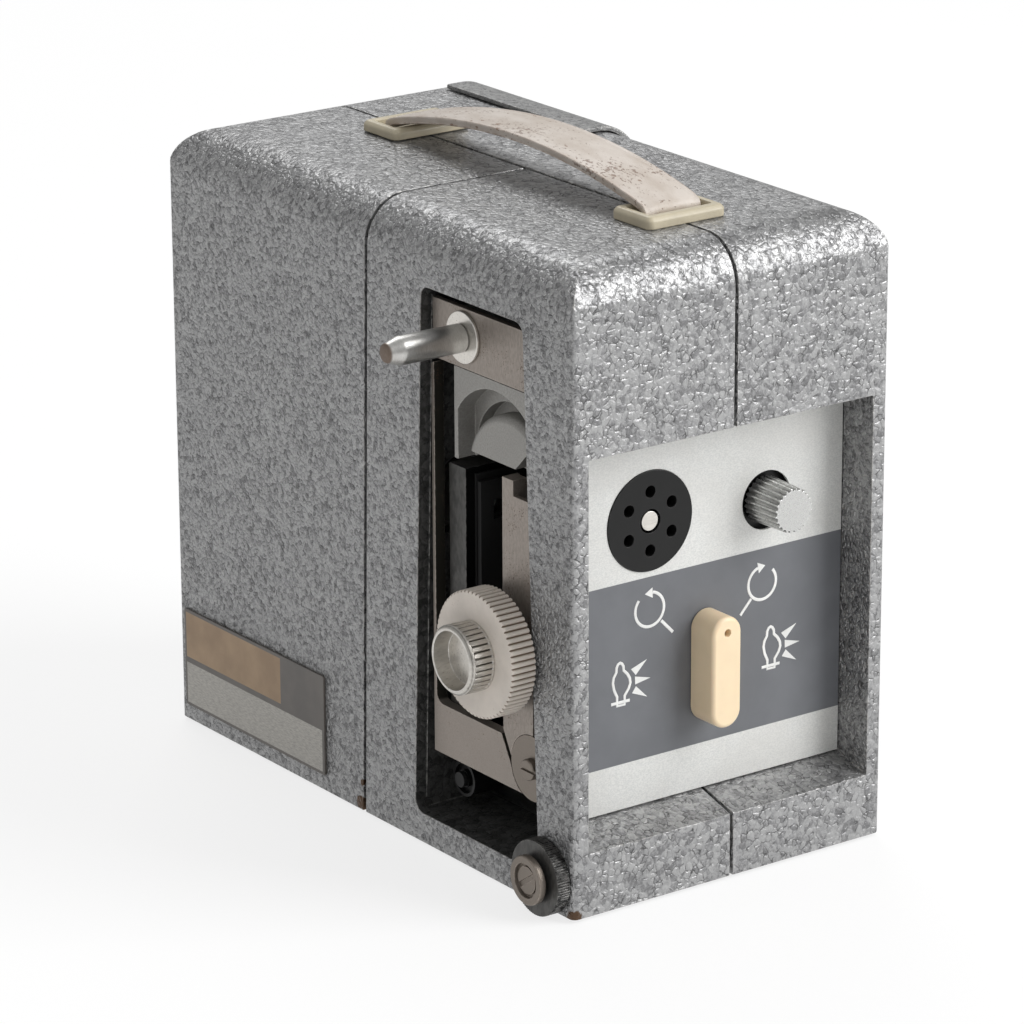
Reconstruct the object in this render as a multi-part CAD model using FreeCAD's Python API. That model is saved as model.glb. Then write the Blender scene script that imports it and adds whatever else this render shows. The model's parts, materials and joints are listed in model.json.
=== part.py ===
"""Compact film projector with a hinged service door, a pull-off side cover and a threading window.

Millimetres. +Z is up and the origin is the centre of the footprint at the height of the surface it
stands on. The control panel is at the -Y end, the lens at the +Y end, the film gate on the -X side.
"""
import FreeCAD, Part
import math
import os
from FreeCAD import Vector

# Overall body
BODY_W = 112.0
BODY_L = 204.0
BODY_TOP = 190.0
FOOT_H = 1.0
LEFT = -BODY_W / 2
RIGHT = BODY_W / 2
FRONT = -BODY_L / 2
REAR = BODY_L / 2
WALL = 3.0
TOP_R = 13.5
CORNER_R = 2.0
LIP_W = 8.0
LIP_T = 3.0
BASE_T = 1.5
FOOT_R = 5.0
SCREW_R = 1.45
SCREW_LEN = 4.0
SCREW_HEAD_R = 2.7
SCREW_HEAD_T = 1.6
FIT = 0.3
RUNNING = 0.05

# Splits between the three shells
SPLIT_X = 0.6
SPLIT_GAP = 1.0
SEAM_Y_LOW = 1.7
SEAM_Y_HIGH = -3.4
SEAM_GAP = 1.3

# Recess for the control panel
RECESS_HALF = 50.5
RECESS_DEPTH = 13.0
RECESS_TOP = 136.0
SILL_FRONT = 20.2
SILL_BACK = 23.8
RECESS_WALL = 2.2
PANEL_T = 1.0
PANEL_LIP = 2.0
PANEL_LIP_W = 4.0

# Threading window in the left wall
WINDOW_TOP = 170.4
WINDOW_LOW = 10.2
WINDOW_FRONT_TOP = -78.5
WINDOW_REAR_TOP = -30.1
WINDOW_FRONT_LOW = -85.4
WINDOW_REAR_LOW = -24.7
WINDOW_R = 3.5
BAY_DEPTH = 26.0
BAY_WALL = 2.0

# Controls on the panel
SOCKET_X = -19.6
SOCKET_Z = 109.1
SOCKET_R = 14.9
SOCKET_DEPTH = 12.5
SOCKET_PCD = 17.4
SOCKET_HOLE_R = 1.75
SOCKET_PIN_R = 2.9
KNOB_X = 22.5
KNOB_Z = 106.9
KNOB_HOLE_R = 8.8
KNOB_LEN = 12.3
KNOB_FRONT_R = 6.6
KNOB_BACK_R = 7.0
KNOB_FLUTES = 24
SWITCH_X = 0.4
SWITCH_Z = 62.3
HANDLE_LEN = 33.5
HANDLE_W = 10.4
HANDLE_H = 10.6
INDEX_HOLE_R = 1.15
INDEX_HOLE_DROP = 4.7

# Film mechanism, seen through the window
MECH_X = LEFT + WALL + FIT
FRAME_T = 3.5
LEG_REAR = -30.2
LEG_T = 1.4
LEG_TOP = 147.7
BAR_LOW = 29.8
BAR_TOP = 45.2
BAR_END = -62.5
SPINDLE_PLATE_LOW = 149.3
SPINDLE_PLATE_TOP = 167.0
SPINDLE_PLATE_T = 2.0
CASTING_REAR = -41.4
CASTING_LOW = 121.9
CASTING_BACK = MECH_X + 12.7
ARCH_Y = -61.3
ARCH_Z = 124.3
ARCH_R = 22.0
ARCH_SIDE = -43.2
ARCH_DEPTH = 6.0
NICHE_R = 17.4
NICHE_DEPTH = 10.0
FORMER_Y = -66.7
FORMER_Z = 120.3
FORMER_R = 19.8
FORMER_EDGE_R = 2.4
FORMER_FLAT_Z = 125.7
FORMER_CUT_Y = -70.3
SPINDLE_Y = -46.5
SPINDLE_Z = 158.6
SPINDLE_R = 4.2
SPINDLE_JOURNAL_R = 3.5
SPINDLE_TIP = LEFT - 23.8
BUSH_R = 7.6
GATE_BLOCK_REAR = -33.7
GATE_BLOCK_FRONT = -41.8
GATE_BLOCK_TOP = 117.9
LEVER_REAR = -64.2
LEVER_FRONT = -78.5
LEVER_TOP = 122.3
LEVER_SHOULDER = 117.8
FINGER_FRONT = -69.5
LEVER_T = 1.8
PIVOT_Y = -77.9
PIVOT_Z = 38.8
PIVOT_DISC_R = 9.8
PIVOT_DISC_T = 0.8
LEVER_SWING = 3.5
WHEEL_Y = -67.5
WHEEL_Z = 72.7
WHEEL_R = 18.6
WHEEL_T = 8.0
WHEEL_TEETH = 64
CUP_R = 10.2
CUP_T = 8.0
CUP_WALL = 1.6
CUP_DEPTH = 4.6
CUP_FLOOR_R = 7.6
CUP_FLUTES = 34
WHEEL_STANDOFF = 1.0
SHAFT_R = 2.5
SPIGOT = 0.6

# Optics: the lamp shines towards -X, a mirror folds the beam to +Y
LENS_X = MECH_X + 14.7
LENS_Z = 105.0
BEAM_Y = -60.0
LENS_BARREL_R = 10.5
LENS_TRAVEL = 3.0
CHASSIS_X = LENS_X + 16.0
CONDENSER_X = CHASSIS_X + 9.5
LAMP_BACK_X = RIGHT - 24.5
CHASSIS_T = 1.6

# Film path rollers, belts and motor
ROLLER_X = MECH_X + 5.7
ROLLER_Y = -36.8
ROLLER_Z = 21.5
PULLEY_X = CHASSIS_X - 7.0
PULLEY_T = 4.0
PULLEY2_X = CHASSIS_X - 12.0
MAIN_PULLEY_R = 12.0
MAIN_SMALL_R = 8.0
SHUTTER_Y = -31.0
SHUTTER_Z = 87.0
SHUTTER_R = 40.0
SHUTTER_PULLEY_R = 8.0
SPROCKET_Y = -53.0
SPROCKET_Z = 50.5
SPROCKET_PULLEY_R = 5.0
MOTOR_Y = 8.0
MOTOR_Z = 42.0
MOTOR_PULLEY_R = 5.0
MOTOR_R = 18.0
MOTOR_LEN = 44.0

# Service door over the far top edge
TERMINAL_X = RIGHT - 12.0
DOOR_FRONT = 17.0
DOOR_REAR = 88.0
DOOR_TOP_X = RIGHT - 19.0
DOOR_LOW = 98.5
DOOR_T = 1.5
HINGE_Z = 95.5
HINGE_OFF = 2.2
HINGE_R = 1.8
HINGE_PIN_R = 0.9

# Carrying handle
STRAP_W = 20.0
STRAP_T = 2.2
STRAP_RISE = 8.6
BRACKET_W = 27.6
BRACKET_L = 17.8
BRACKET_H = 3.6
BRACKET_FLOOR = 1.0
BRACKET_FRONT_Y = -70.9
BRACKET_REAR_Y = 52.5

# Levelling knob at the front corner
TILT_Y = -89.9
TILT_Z = 11.4
TILT_R = 11.2
TILT_T = 4.3
TILT_CAP_R = 7.3

BOTTOM = FOOT_H
INNER_LEFT = LEFT + WALL
INNER_RIGHT = RIGHT - WALL
INNER_TOP = BODY_TOP - WALL
BASE_Z = BOTTOM + LIP_T
FLOOR_Z = BASE_Z + BASE_T
FRAME_BACK = MECH_X + FRAME_T
GATE_BLOCK_X = FRAME_BACK
PANEL_Y = FRONT + RECESS_DEPTH
PANEL_BACK = PANEL_Y + PANEL_T
LIP_BACK = PANEL_BACK + PANEL_LIP
CHASSIS_R = CHASSIS_X + CHASSIS_T
WHEEL_FACE = LEFT - WHEEL_STANDOFF - WHEEL_T

AXES = {"x": Vector(1, 0, 0), "y": Vector(0, 1, 0), "z": Vector(0, 0, 1)}


def box(x0, x1, y0, y1, z0, z1):
    return Part.makeBox(x1 - x0, y1 - y0, z1 - z0, Vector(x0, y0, z0))


def rod(axis, start, radius, length):
    return Part.makeCylinder(radius, length, Vector(*start), AXES[axis])


def ring(axis, start, outer, inner, length):
    return rod(axis, start, outer, length).cut(rod(axis, start, inner, length))


def cone(axis, start, r_start, r_end, length):
    return Part.makeCone(r_start, r_end, length, Vector(*start), AXES[axis])


def prism(axis, points, low, high):
    """Extrude a closed outline, given in the two other axes in X, Y, Z order, from low to high."""
    place = {
        "x": lambda a, b: Vector(low, a, b),
        "y": lambda a, b: Vector(a, low, b),
        "z": lambda a, b: Vector(a, b, low),
    }[axis]
    corners = [place(a, b) for a, b in points]
    face = Part.Face(Part.makePolygon(corners + corners[:1]))
    return face.extrude(AXES[axis] * (high - low))


def fillet_along(shape, axis, radius, where=None):
    """Round the straight edges that run along an axis, or those of them that a test picks."""
    direction = AXES[axis]
    chosen = []
    for edge in shape.Edges:
        if len(edge.Vertexes) != 2 or not isinstance(edge.Curve, Part.Line):
            continue
        along = (edge.Vertexes[1].Point - edge.Vertexes[0].Point).normalize()
        if abs(abs(along.dot(direction)) - 1) < 1e-6 and (where is None or where(edge.CenterOfMass)):
            chosen.append(edge)
    return shape.makeFillet(radius, chosen)


def fluted(axis, start, radius, depth, count, length, land=0.45):
    """A disc whose rim carries evenly spaced flat-topped ridges."""
    outline = []
    pitch = 2 * math.pi / count
    for i in range(count):
        middle = i * pitch
        for r, offset in ((radius, -land / 2), (radius, land / 2), (radius - depth, 0.5)):
            angle = middle + offset * pitch
            outline.append((r * math.cos(angle), r * math.sin(angle)))
    shape = prism(axis, outline, 0, length)
    shape.translate(Vector(*start))
    return shape


def band(start, end, rise, thick):
    """Closed arch outline between two points (y, z) of equal height, as two arcs and two ends."""
    middle_y = (start[0] + end[0]) / 2
    low = [Vector(0, start[0], start[1]), Vector(0, middle_y, start[1] + rise), Vector(0, end[0], end[1])]
    high = [point + Vector(0, 0, thick) for point in low]
    edges = [
        Part.Arc(*low).toShape(),
        Part.makeLine(low[2], high[2]),
        Part.Arc(*reversed(high)).toShape(),
        Part.makeLine(high[0], low[0]),
    ]
    return Part.Face(Part.Wire(edges))


def seam_y(z):
    """Place of the slanting seam between the threading shell and the side cover."""
    return SEAM_Y_LOW + (SEAM_Y_HIGH - SEAM_Y_LOW) * z / BODY_TOP


def envelope(inset, bottom):
    """The body's outer form, or the same form drawn in by a wall."""
    radius = TOP_R - inset
    west, east = LEFT + inset, RIGHT - inset
    south, north = FRONT + inset, REAR - inset
    top = BODY_TOP - inset
    across = box(west, east, south, north, bottom, top)
    across = fillet_along(across, "y", radius, lambda c: c.z > top - 1)
    along = box(west, east, south, north, bottom, top)
    along = fillet_along(along, "x", radius, lambda c: c.z > top - 1)
    solid = across.common(along)
    if CORNER_R > inset:
        upright = fillet_along(box(west, east, south, north, bottom, top), "z", CORNER_R - inset)
        solid = solid.common(upright)
    return solid


def housing():
    """One hollow body with the panel recess, before it is split into shells."""
    body = envelope(0, BOTTOM).cut(envelope(WALL, BOTTOM - WALL))
    rim = box(LEFT + 1, RIGHT - 1, FRONT + 1, REAR - 1, BOTTOM, BOTTOM + LIP_T)
    hole = box(LEFT + LIP_W, RIGHT - LIP_W, FRONT + LIP_W, REAR - LIP_W, 0, BOTTOM + LIP_T + 1)
    body = body.fuse(rim.cut(hole))
    half = RECESS_HALF + RECESS_WALL
    block = box(-half, half, FRONT + 1, LIP_BACK, SILL_FRONT - WALL, RECESS_TOP + WALL)
    body = body.fuse(block)
    slope = (SILL_BACK - SILL_FRONT) / RECESS_DEPTH
    outside = FRONT - 1
    sill = SILL_FRONT - slope
    back_z = SILL_BACK + slope * PANEL_T
    pocket = [(outside, sill), (PANEL_BACK, back_z), (PANEL_BACK, RECESS_TOP), (outside, RECESS_TOP)]
    body = body.cut(prism("x", pocket, -RECESS_HALF, RECESS_HALF))
    clear = RECESS_HALF - PANEL_LIP_W
    low = SILL_BACK + PANEL_LIP_W
    body = body.cut(box(-clear, clear, PANEL_Y, LIP_BACK + 1, low, RECESS_TOP - PANEL_LIP_W))
    return body.removeSplitter()


def window_outline(grow):
    return [
        (WINDOW_FRONT_LOW - grow, WINDOW_LOW - grow),
        (WINDOW_REAR_LOW + grow, WINDOW_LOW - grow),
        (WINDOW_REAR_TOP + grow, WINDOW_TOP + grow),
        (WINDOW_FRONT_TOP - grow, WINDOW_TOP + grow),
    ]


def ahead_of_seam(x0, x1):
    gap = SEAM_GAP / 2
    outline = [(FRONT - 1, -1), (seam_y(-1) - gap, -1), (seam_y(BODY_TOP + 1) - gap, BODY_TOP + 1),
               (FRONT - 1, BODY_TOP + 1)]
    return prism("x", outline, x0, x1)


def behind_seam(x0, x1):
    gap = SEAM_GAP / 2
    outline = [(REAR + 1, -1), (seam_y(-1) + gap, -1), (seam_y(BODY_TOP + 1) + gap, BODY_TOP + 1),
               (REAR + 1, BODY_TOP + 1)]
    return prism("x", outline, x0, x1)


def gate_side_shell(body):
    shell = body.common(ahead_of_seam(LEFT - 1, SPLIT_X - SPLIT_GAP / 2))
    window = fillet_along(prism("x", window_outline(0), LEFT - 1, INNER_LEFT + 1), "x", WINDOW_R)
    bay_rear = [(WINDOW_REAR_LOW, WINDOW_LOW - BAY_WALL), (WINDOW_REAR_LOW + BAY_WALL, WINDOW_LOW - BAY_WALL),
                (WINDOW_REAR_TOP + BAY_WALL, WINDOW_TOP), (WINDOW_REAR_TOP, WINDOW_TOP)]
    wall = prism("x", bay_rear, INNER_LEFT - 1, LEFT + BAY_DEPTH)
    floor_front = WINDOW_FRONT_LOW
    floor = box(INNER_LEFT - 1, LEFT + BAY_DEPTH, floor_front, WINDOW_REAR_LOW + BAY_WALL,
                WINDOW_LOW - BAY_WALL, WINDOW_LOW)
    lens_way = rod("y", (LENS_X, WINDOW_REAR_TOP - 5, LENS_Z), LENS_BARREL_R + 2.6, 20)
    shutter_way = rod("x", (PULLEY_X - 3, SHUTTER_Y, SHUTTER_Z), SHUTTER_PULLEY_R + 4, 20)
    belt_way = box(PULLEY_X - 2, LEFT + BAY_DEPTH + 1, -40, 0, 48, SHUTTER_Z)
    shell = shell.fuse([wall.cut([lens_way, shutter_way, belt_way]), floor]).cut(window)
    shell = shell.cut(rod("x", (LEFT - 1, TILT_Y, TILT_Z), 2.0 + RUNNING, WALL + 2))
    boss = ring("x", (INNER_LEFT, TILT_Y, TILT_Z), 4.5, 2.0 + RUNNING, 6)
    return shell.fuse(boss).cut(bracket_holes(BRACKET_FRONT_Y)).removeSplitter()


def right_shell(body):
    shell = body.common(box(SPLIT_X + SPLIT_GAP / 2, RIGHT + 1, FRONT - 1, REAR + 1, -1, BODY_TOP + 1))
    shell = shell.cut(box(INNER_RIGHT - 1, RIGHT + 1, DOOR_FRONT + 7, DOOR_REAR - 8, DOOR_LOW + 7, 172))
    for i in range(8):
        z = 78 + 8 * i
        slot = fillet_along(box(INNER_RIGHT - 1, RIGHT + 1, -78, -38, z, z + 3.2), "x", 1.4)
        shell = shell.cut(slot)
    for i in range(6):
        x = 14 + 6 * i
        slot = fillet_along(box(x, x + 3, REAR - WALL - 1, REAR + 1, 30, 62), "y", 1.4)
        shell = shell.cut(slot)
    hinge_x = RIGHT + HINGE_OFF
    for y0, y1 in ((30.3, 38.7), (66.3, 74.7)):
        knuckle = rod("y", (hinge_x, y0, HINGE_Z), HINGE_R, y1 - y0)
        root = box(INNER_RIGHT + 1, hinge_x, y0, y1, HINGE_Z - HINGE_R, HINGE_Z)
        shell = shell.fuse([knuckle, root])
    shell = shell.cut(rod("y", (hinge_x, 20, HINGE_Z), HINGE_PIN_R, 65))
    shell = shell.cut([bracket_holes(BRACKET_FRONT_Y), bracket_holes(BRACKET_REAR_Y)])
    posts = [ring("x", (TERMINAL_X, y, z), 3.0, 1.3, INNER_RIGHT - TERMINAL_X) for y, z in terminal_posts()]
    return shell.fuse(posts).removeSplitter()


def rear_side_cover(body):
    cover = body.common(behind_seam(LEFT - 1, SPLIT_X - SPLIT_GAP / 2))
    lip_top = BASE_Z - FIT
    cover = cover.cut(box(INNER_LEFT, 20, -20, REAR - WALL, lip_top, FLOOR_Z))
    cover = cover.cut(rod("y", (LENS_X, REAR - WALL - 1, LENS_Z), LENS_BARREL_R + 2.8, WALL + 2))
    return cover.removeSplitter()


def nameplate():
    plate = box(LEFT - 0.8, LEFT, 21.3, 98.0, 6.2, 37.8)
    return fillet_along(plate, "x", 0.8)


def base_plate():
    grow = WALL + FIT
    plate = box(LEFT + grow, RIGHT - grow, FRONT + grow, REAR - grow, BASE_Z, FLOOR_Z)
    for i in range(7):
        x = 8 + 6 * i
        plate = plate.cut(box(x, x + 3, -46, -18, BASE_Z - 1, FLOOR_Z + 1))
    for x, y in base_screw_places():
        plate = plate.cut(rod("z", (x, y, BASE_Z - 1), SCREW_R + 0.01, BASE_T + 2))
    return plate


def base_screw_places():
    x = RIGHT - WALL - 2.5
    y = REAR - 24.0
    return [(x, y), (x, -y), (-x, -y + 20.0)]


def drilled_for_base(shell):
    for x, y in base_screw_places():
        shell = shell.cut(rod("z", (x, y, BOTTOM - 1), SCREW_R + 0.15, LIP_T + 1.5))
        shell = shell.cut(rod("z", (x, y, BOTTOM - 1), SCREW_HEAD_R + 0.2, SCREW_HEAD_T + 1.2))
    return shell


def screw(x, y, head_z):
    """Slotted screw that points up, with its head from head_z."""
    head = rod("z", (x, y, head_z), SCREW_HEAD_R, SCREW_HEAD_T)
    shank = rod("z", (x, y, head_z + SCREW_HEAD_T), SCREW_R, SCREW_LEN)
    slot = box(x - SCREW_HEAD_R - 1, x + SCREW_HEAD_R + 1, y - 0.4, y + 0.4, head_z - 1, head_z + 0.7)
    return head.fuse(shank).cut(slot)


def housing_screws():
    """Three screws hold the shells to the base, four hold the handle's brackets from inside."""
    screws = [screw(x, y, BOTTOM + 0.2) for x, y in base_screw_places()]
    for place in (BRACKET_FRONT_Y, BRACKET_REAR_Y):
        screws += [screw(x, y, INNER_TOP - SCREW_HEAD_T) for x, y in bracket_screw_places(place)]
    return screws


def rubber_feet():
    """Round feet under the base plate, inboard of the shells' lips."""
    x = RIGHT - LIP_W - FOOT_R - 1.0
    y = REAR - LIP_W - FOOT_R - 1.0
    places = [(x, y), (-x, y), (x, -y), (-x, -y)]
    return [rod("z", (px, py, 0), FOOT_R, BASE_Z) for px, py in places]


def door_profile(grow):
    """Side and top of the far edge, as a closed outline that reaches inside the body."""
    east = RIGHT + grow
    top = BODY_TOP + grow
    block = box(SPLIT_X + 5, east, DOOR_FRONT, DOOR_REAR, DOOR_LOW, top)
    return fillet_along(block, "y", TOP_R + grow, lambda c: c.z > top - 1 and c.x > east - 1)


def service_door():
    door = door_profile(FIT + DOOR_T).cut(door_profile(FIT))
    door = door.common(box(DOOR_TOP_X, RIGHT + 10, DOOR_FRONT, DOOR_REAR, 0, BODY_TOP + 10))
    hinge_x = RIGHT + HINGE_OFF
    for y0, y1 in ((24.0, 30.0), (39.0, 66.0), (75.0, 81.0)):
        knuckle = rod("y", (hinge_x, y0, HINGE_Z), HINGE_R, y1 - y0)
        strap = box(RIGHT + 1.0, RIGHT + FIT + DOOR_T, y0, y1, HINGE_Z, DOOR_LOW + 1)
        door = door.fuse([knuckle, strap])
    door = door.cut(rod("y", (hinge_x, 20, HINGE_Z), HINGE_PIN_R + RUNNING, 65))
    return door.removeSplitter()


def door_hinge_pin():
    return rod("y", (RIGHT + HINGE_OFF, 23.5, HINGE_Z), HINGE_PIN_R, 58)


def bracket_screw_places(y):
    if y == BRACKET_FRONT_Y:
        return [(SPLIT_X - 9.0, y), (SPLIT_X + 9.0, y)]
    return [(SPLIT_X + 4.5, y), (SPLIT_X + 11.0, y)]


def bracket_holes(y):
    holes = [rod("z", (px, py, INNER_TOP - 1), SCREW_R + 0.15, WALL + 2) for px, py in bracket_screw_places(y)]
    return Part.makeCompound(holes)


def handle_bracket(y):
    """Low rectangular frame that holds one end of the strap."""
    west, east = SPLIT_X - BRACKET_W / 2, SPLIT_X + BRACKET_W / 2
    lift = FIT if y == BRACKET_REAR_Y else 0.0
    low = BODY_TOP + lift
    block = box(west, east, y - BRACKET_L / 2, y + BRACKET_L / 2, low, BODY_TOP + BRACKET_H)
    block = fillet_along(block, "z", 2.2)
    rim = [e for e in block.Edges if e.BoundBox.ZMin > BODY_TOP + BRACKET_H - 0.01]
    block = block.makeChamfer(1.1, rim)
    slot_x = STRAP_W / 2 + 1.0
    slot = box(SPLIT_X - slot_x, SPLIT_X + slot_x, y - 5.6, y + 5.6, low + BRACKET_FLOOR,
               BODY_TOP + BRACKET_H + 1)
    block = block.cut(fillet_along(slot, "z", 1.2))
    if lift:
        foot = box(SPLIT_X + 1.5, east - 1.5, y - BRACKET_L / 2 + 1.5, y + BRACKET_L / 2 - 1.5, BODY_TOP, low)
        block = block.fuse(foot)
    for px, py in bracket_screw_places(y):
        block = block.cut(rod("z", (px, py, BODY_TOP - 1), SCREW_R + 0.01, BRACKET_H + 2))
    return block.removeSplitter()


def handle_strap():
    """Arched strap whose two ends turn down into the brackets."""
    west = SPLIT_X - STRAP_W / 2
    front = BRACKET_FRONT_Y - 2.2
    rear = BRACKET_REAR_Y + 2.2
    low = BODY_TOP + BRACKET_H - 0.9
    strap = band((front, low), (rear, low), STRAP_RISE, STRAP_T).extrude(Vector(STRAP_W, 0, 0))
    strap.translate(Vector(west, 0, 0))
    floor = BODY_TOP + BRACKET_FLOOR
    lugs = [box(west, west + STRAP_W, front, front + 3.2, floor, low + 0.8),
            box(west, west + STRAP_W, rear - 3.2, rear, floor + FIT, low + 0.8)]
    return strap.fuse(lugs).removeSplitter()


def control_panel():
    inside = RECESS_HALF - FIT
    plate = box(-inside, inside, PANEL_Y, PANEL_BACK, SILL_BACK + FIT + 0.3, RECESS_TOP - FIT)
    plate = plate.cut(rod("y", (SOCKET_X, PANEL_Y - 1, SOCKET_Z), SOCKET_R + RUNNING, 5))
    plate = plate.cut(rod("y", (KNOB_X, PANEL_Y - 1, KNOB_Z), KNOB_HOLE_R, 5))
    return plate.cut(rod("y", (SWITCH_X, PANEL_Y - 1, SWITCH_Z), 3.0 + RUNNING, 5))


def socket_holes():
    radius = SOCKET_PCD / 2
    return [(SOCKET_X + radius * math.sin(a), SOCKET_Z + radius * math.cos(a))
            for a in (i * math.pi / 3 for i in range(6))]


def round_socket():
    flange = rod("y", (SOCKET_X, PANEL_Y - 0.4, SOCKET_Z), SOCKET_R, PANEL_T + 0.4)
    body = rod("y", (SOCKET_X, PANEL_BACK, SOCKET_Z), SOCKET_R + 1.5, SOCKET_DEPTH - PANEL_T)
    shape = flange.fuse(body)
    for x, z in socket_holes():
        shape = shape.cut(rod("y", (x, PANEL_Y - 2, z), SOCKET_HOLE_R, 9))
    return shape.cut(rod("y", (SOCKET_X, PANEL_Y - 2, SOCKET_Z), SOCKET_PIN_R + 0.6, 9)).removeSplitter()


def socket_pin():
    return rod("y", (SOCKET_X, PANEL_Y - 0.2, SOCKET_Z), SOCKET_PIN_R, 7.2)


def fluted_knob():
    """Slightly tapered knob with cut flutes, on a stub that turns in the control behind the panel."""
    face_y = PANEL_Y - KNOB_LEN
    length = KNOB_LEN + 1.5
    body = cone("y", (KNOB_X, face_y, KNOB_Z), KNOB_FRONT_R, KNOB_BACK_R, length)
    for i in range(KNOB_FLUTES):
        a = 2 * math.pi * i / KNOB_FLUTES
        low = Vector(KNOB_X + KNOB_FRONT_R * math.cos(a), face_y - 0.5, KNOB_Z + KNOB_FRONT_R * math.sin(a))
        high = Vector(KNOB_X + KNOB_BACK_R * math.cos(a), face_y + length + 0.5,
                      KNOB_Z + KNOB_BACK_R * math.sin(a))
        body = body.cut(Part.makeCylinder(0.62, (high - low).Length, low, high - low))
    stub = rod("y", (KNOB_X, face_y + length - 2, KNOB_Z), 3.0, 10)
    return body.fuse(stub)


def rotary_control():
    """Wirewound control that the fluted knob turns, on its own bridge behind the panel."""
    front = PANEL_BACK + PANEL_LIP
    case = rod("y", (KNOB_X, front + 1.2, KNOB_Z), 9.0, 9.5)
    case = case.cut(rod("y", (KNOB_X, front, KNOB_Z), 3.0 + RUNNING, 9))
    bridge = box(KNOB_X - 12, KNOB_X + 12, front, front + 1.2, KNOB_Z - 10, RECESS_TOP - 1)
    return case.fuse(bridge.cut(rod("y", (KNOB_X, front - 1, KNOB_Z), 3.0 + RUNNING, 4))).removeSplitter()


def selector_handle():
    """Upright ivory bar handle with rounded ends and a small index hole, on its spindle."""
    half = HANDLE_W / 2
    span = HANDLE_LEN / 2 - half
    y0 = PANEL_Y - HANDLE_H
    y1 = PANEL_Y - FIT
    bar = box(SWITCH_X - half, SWITCH_X + half, y0, y1, SWITCH_Z - span, SWITCH_Z + span)
    ends = [rod("y", (SWITCH_X, y0, SWITCH_Z + s * span), half, y1 - y0) for s in (-1, 1)]
    handle = bar.fuse(ends).removeSplitter()
    rim = [e for e in handle.Edges if e.BoundBox.YMax < y0 + 0.01]
    handle = handle.makeFillet(1.3, rim)
    index_z = SWITCH_Z + HANDLE_LEN / 2 - INDEX_HOLE_DROP
    handle = handle.cut(rod("y", (SWITCH_X, y0 - 1, index_z), INDEX_HOLE_R, 5))
    return handle.fuse(rod("y", (SWITCH_X, y1 - 1, SWITCH_Z), 3.0, 11))


def selector_switch():
    front = PANEL_BACK
    wafer = box(SWITCH_X - 15.5, SWITCH_X + 15.5, front, front + 9.5, SWITCH_Z - 19, SWITCH_Z + 19)
    wafer = fillet_along(wafer, "y", 4.0)
    tags = [box(SWITCH_X + s * 11 - 1.2, SWITCH_X + s * 11 + 1.2, front + 9.5, front + 12, z - 0.4, z + 0.4)
            for s in (-1, 1) for z in (SWITCH_Z - 12, SWITCH_Z - 4, SWITCH_Z + 4, SWITCH_Z + 12)]
    return wafer.cut(rod("y", (SWITCH_X, front - 1, SWITCH_Z), 3.0 + RUNNING, 10)).fuse(tags)


def gate_frame():
    """Cast frame: a thin upright leg and a lower bar, which narrows below the lever to a heel."""
    back = FRAME_BACK
    leg = box(MECH_X, back, LEG_REAR - LEG_T, LEG_REAR, BAR_LOW, LEG_TOP)
    leg = fillet_along(leg, "x", 1.2, lambda c: c.z > LEG_TOP - 1 and c.y > LEG_REAR - 0.1)
    bar = box(MECH_X, back, BAR_END, LEG_REAR, BAR_LOW, BAR_TOP)
    frame = leg.fuse(bar).removeSplitter()
    frame = fillet_along(frame, "x", 3.0, lambda c: abs(c.z - BAR_TOP) < 0.1 and c.y > LEG_REAR - LEG_T - 0.1)
    tail = box(MECH_X + LEVER_T + FIT, back, -82.0, BAR_END, BAR_LOW, BAR_TOP)
    heel = prism("x", [(BAR_END + 1, BAR_LOW), (PIVOT_Y + 1.9, BAR_LOW), (PIVOT_Y + 1.9, BAR_LOW + 0.8),
                       (PIVOT_Y + 8.3, PIVOT_Z - 4.9), (BAR_END - 0.9, BAR_TOP), (BAR_END + 1, BAR_TOP)],
                 MECH_X, back)
    heel = heel.cut(rod("x", (MECH_X - 1, PIVOT_Y, PIVOT_Z), PIVOT_DISC_R + FIT, 1 + PIVOT_DISC_T + FIT))
    frame = frame.fuse([tail, heel])
    return frame.cut(rod("x", (MECH_X, PIVOT_Y, PIVOT_Z), 2.0, FRAME_T + 1)).removeSplitter()


def spindle_plate():
    plate = box(MECH_X, MECH_X + SPINDLE_PLATE_T, -82.0, -31.2, SPINDLE_PLATE_LOW, SPINDLE_PLATE_TOP)
    return plate.cut(rod("x", (MECH_X - 1, SPINDLE_Y, SPINDLE_Z), 6.0, SPINDLE_PLATE_T + 2))


def spindle_bush():
    flange = rod("x", (MECH_X - 1.0, SPINDLE_Y, SPINDLE_Z), BUSH_R, 1.0)
    barrel = rod("x", (MECH_X, SPINDLE_Y, SPINDLE_Z), 6.0 - RUNNING, 17)
    bore = rod("x", (MECH_X - 3, SPINDLE_Y, SPINDLE_Z), SPINDLE_JOURNAL_R + RUNNING, 25)
    return flange.fuse(barrel).cut(bore)


def reel_spindle():
    """Bright steel reel spindle with a waisted, tapered nose and a thinner journal in its bush."""
    shoulder = MECH_X - 1.3
    body = rod("x", (SPINDLE_TIP + 5.2, SPINDLE_Y, SPINDLE_Z), SPINDLE_R, shoulder - SPINDLE_TIP - 5.2)
    journal = rod("x", (shoulder, SPINDLE_Y, SPINDLE_Z), SPINDLE_JOURNAL_R, SPINDLE_TIP + 50 - shoulder)
    nose = cone("x", (SPINDLE_TIP + 0.4, SPINDLE_Y, SPINDLE_Z), 3.0, SPINDLE_R - 0.35, 4.8)
    tip = cone("x", (SPINDLE_TIP, SPINDLE_Y, SPINDLE_Z), 2.6, 3.0, 0.4)
    collar = rod("x", (SPINDLE_TIP + 48, SPINDLE_Y, SPINDLE_Z), 6.0, 2.2)
    return body.fuse([journal, nose, tip, collar])


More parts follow.
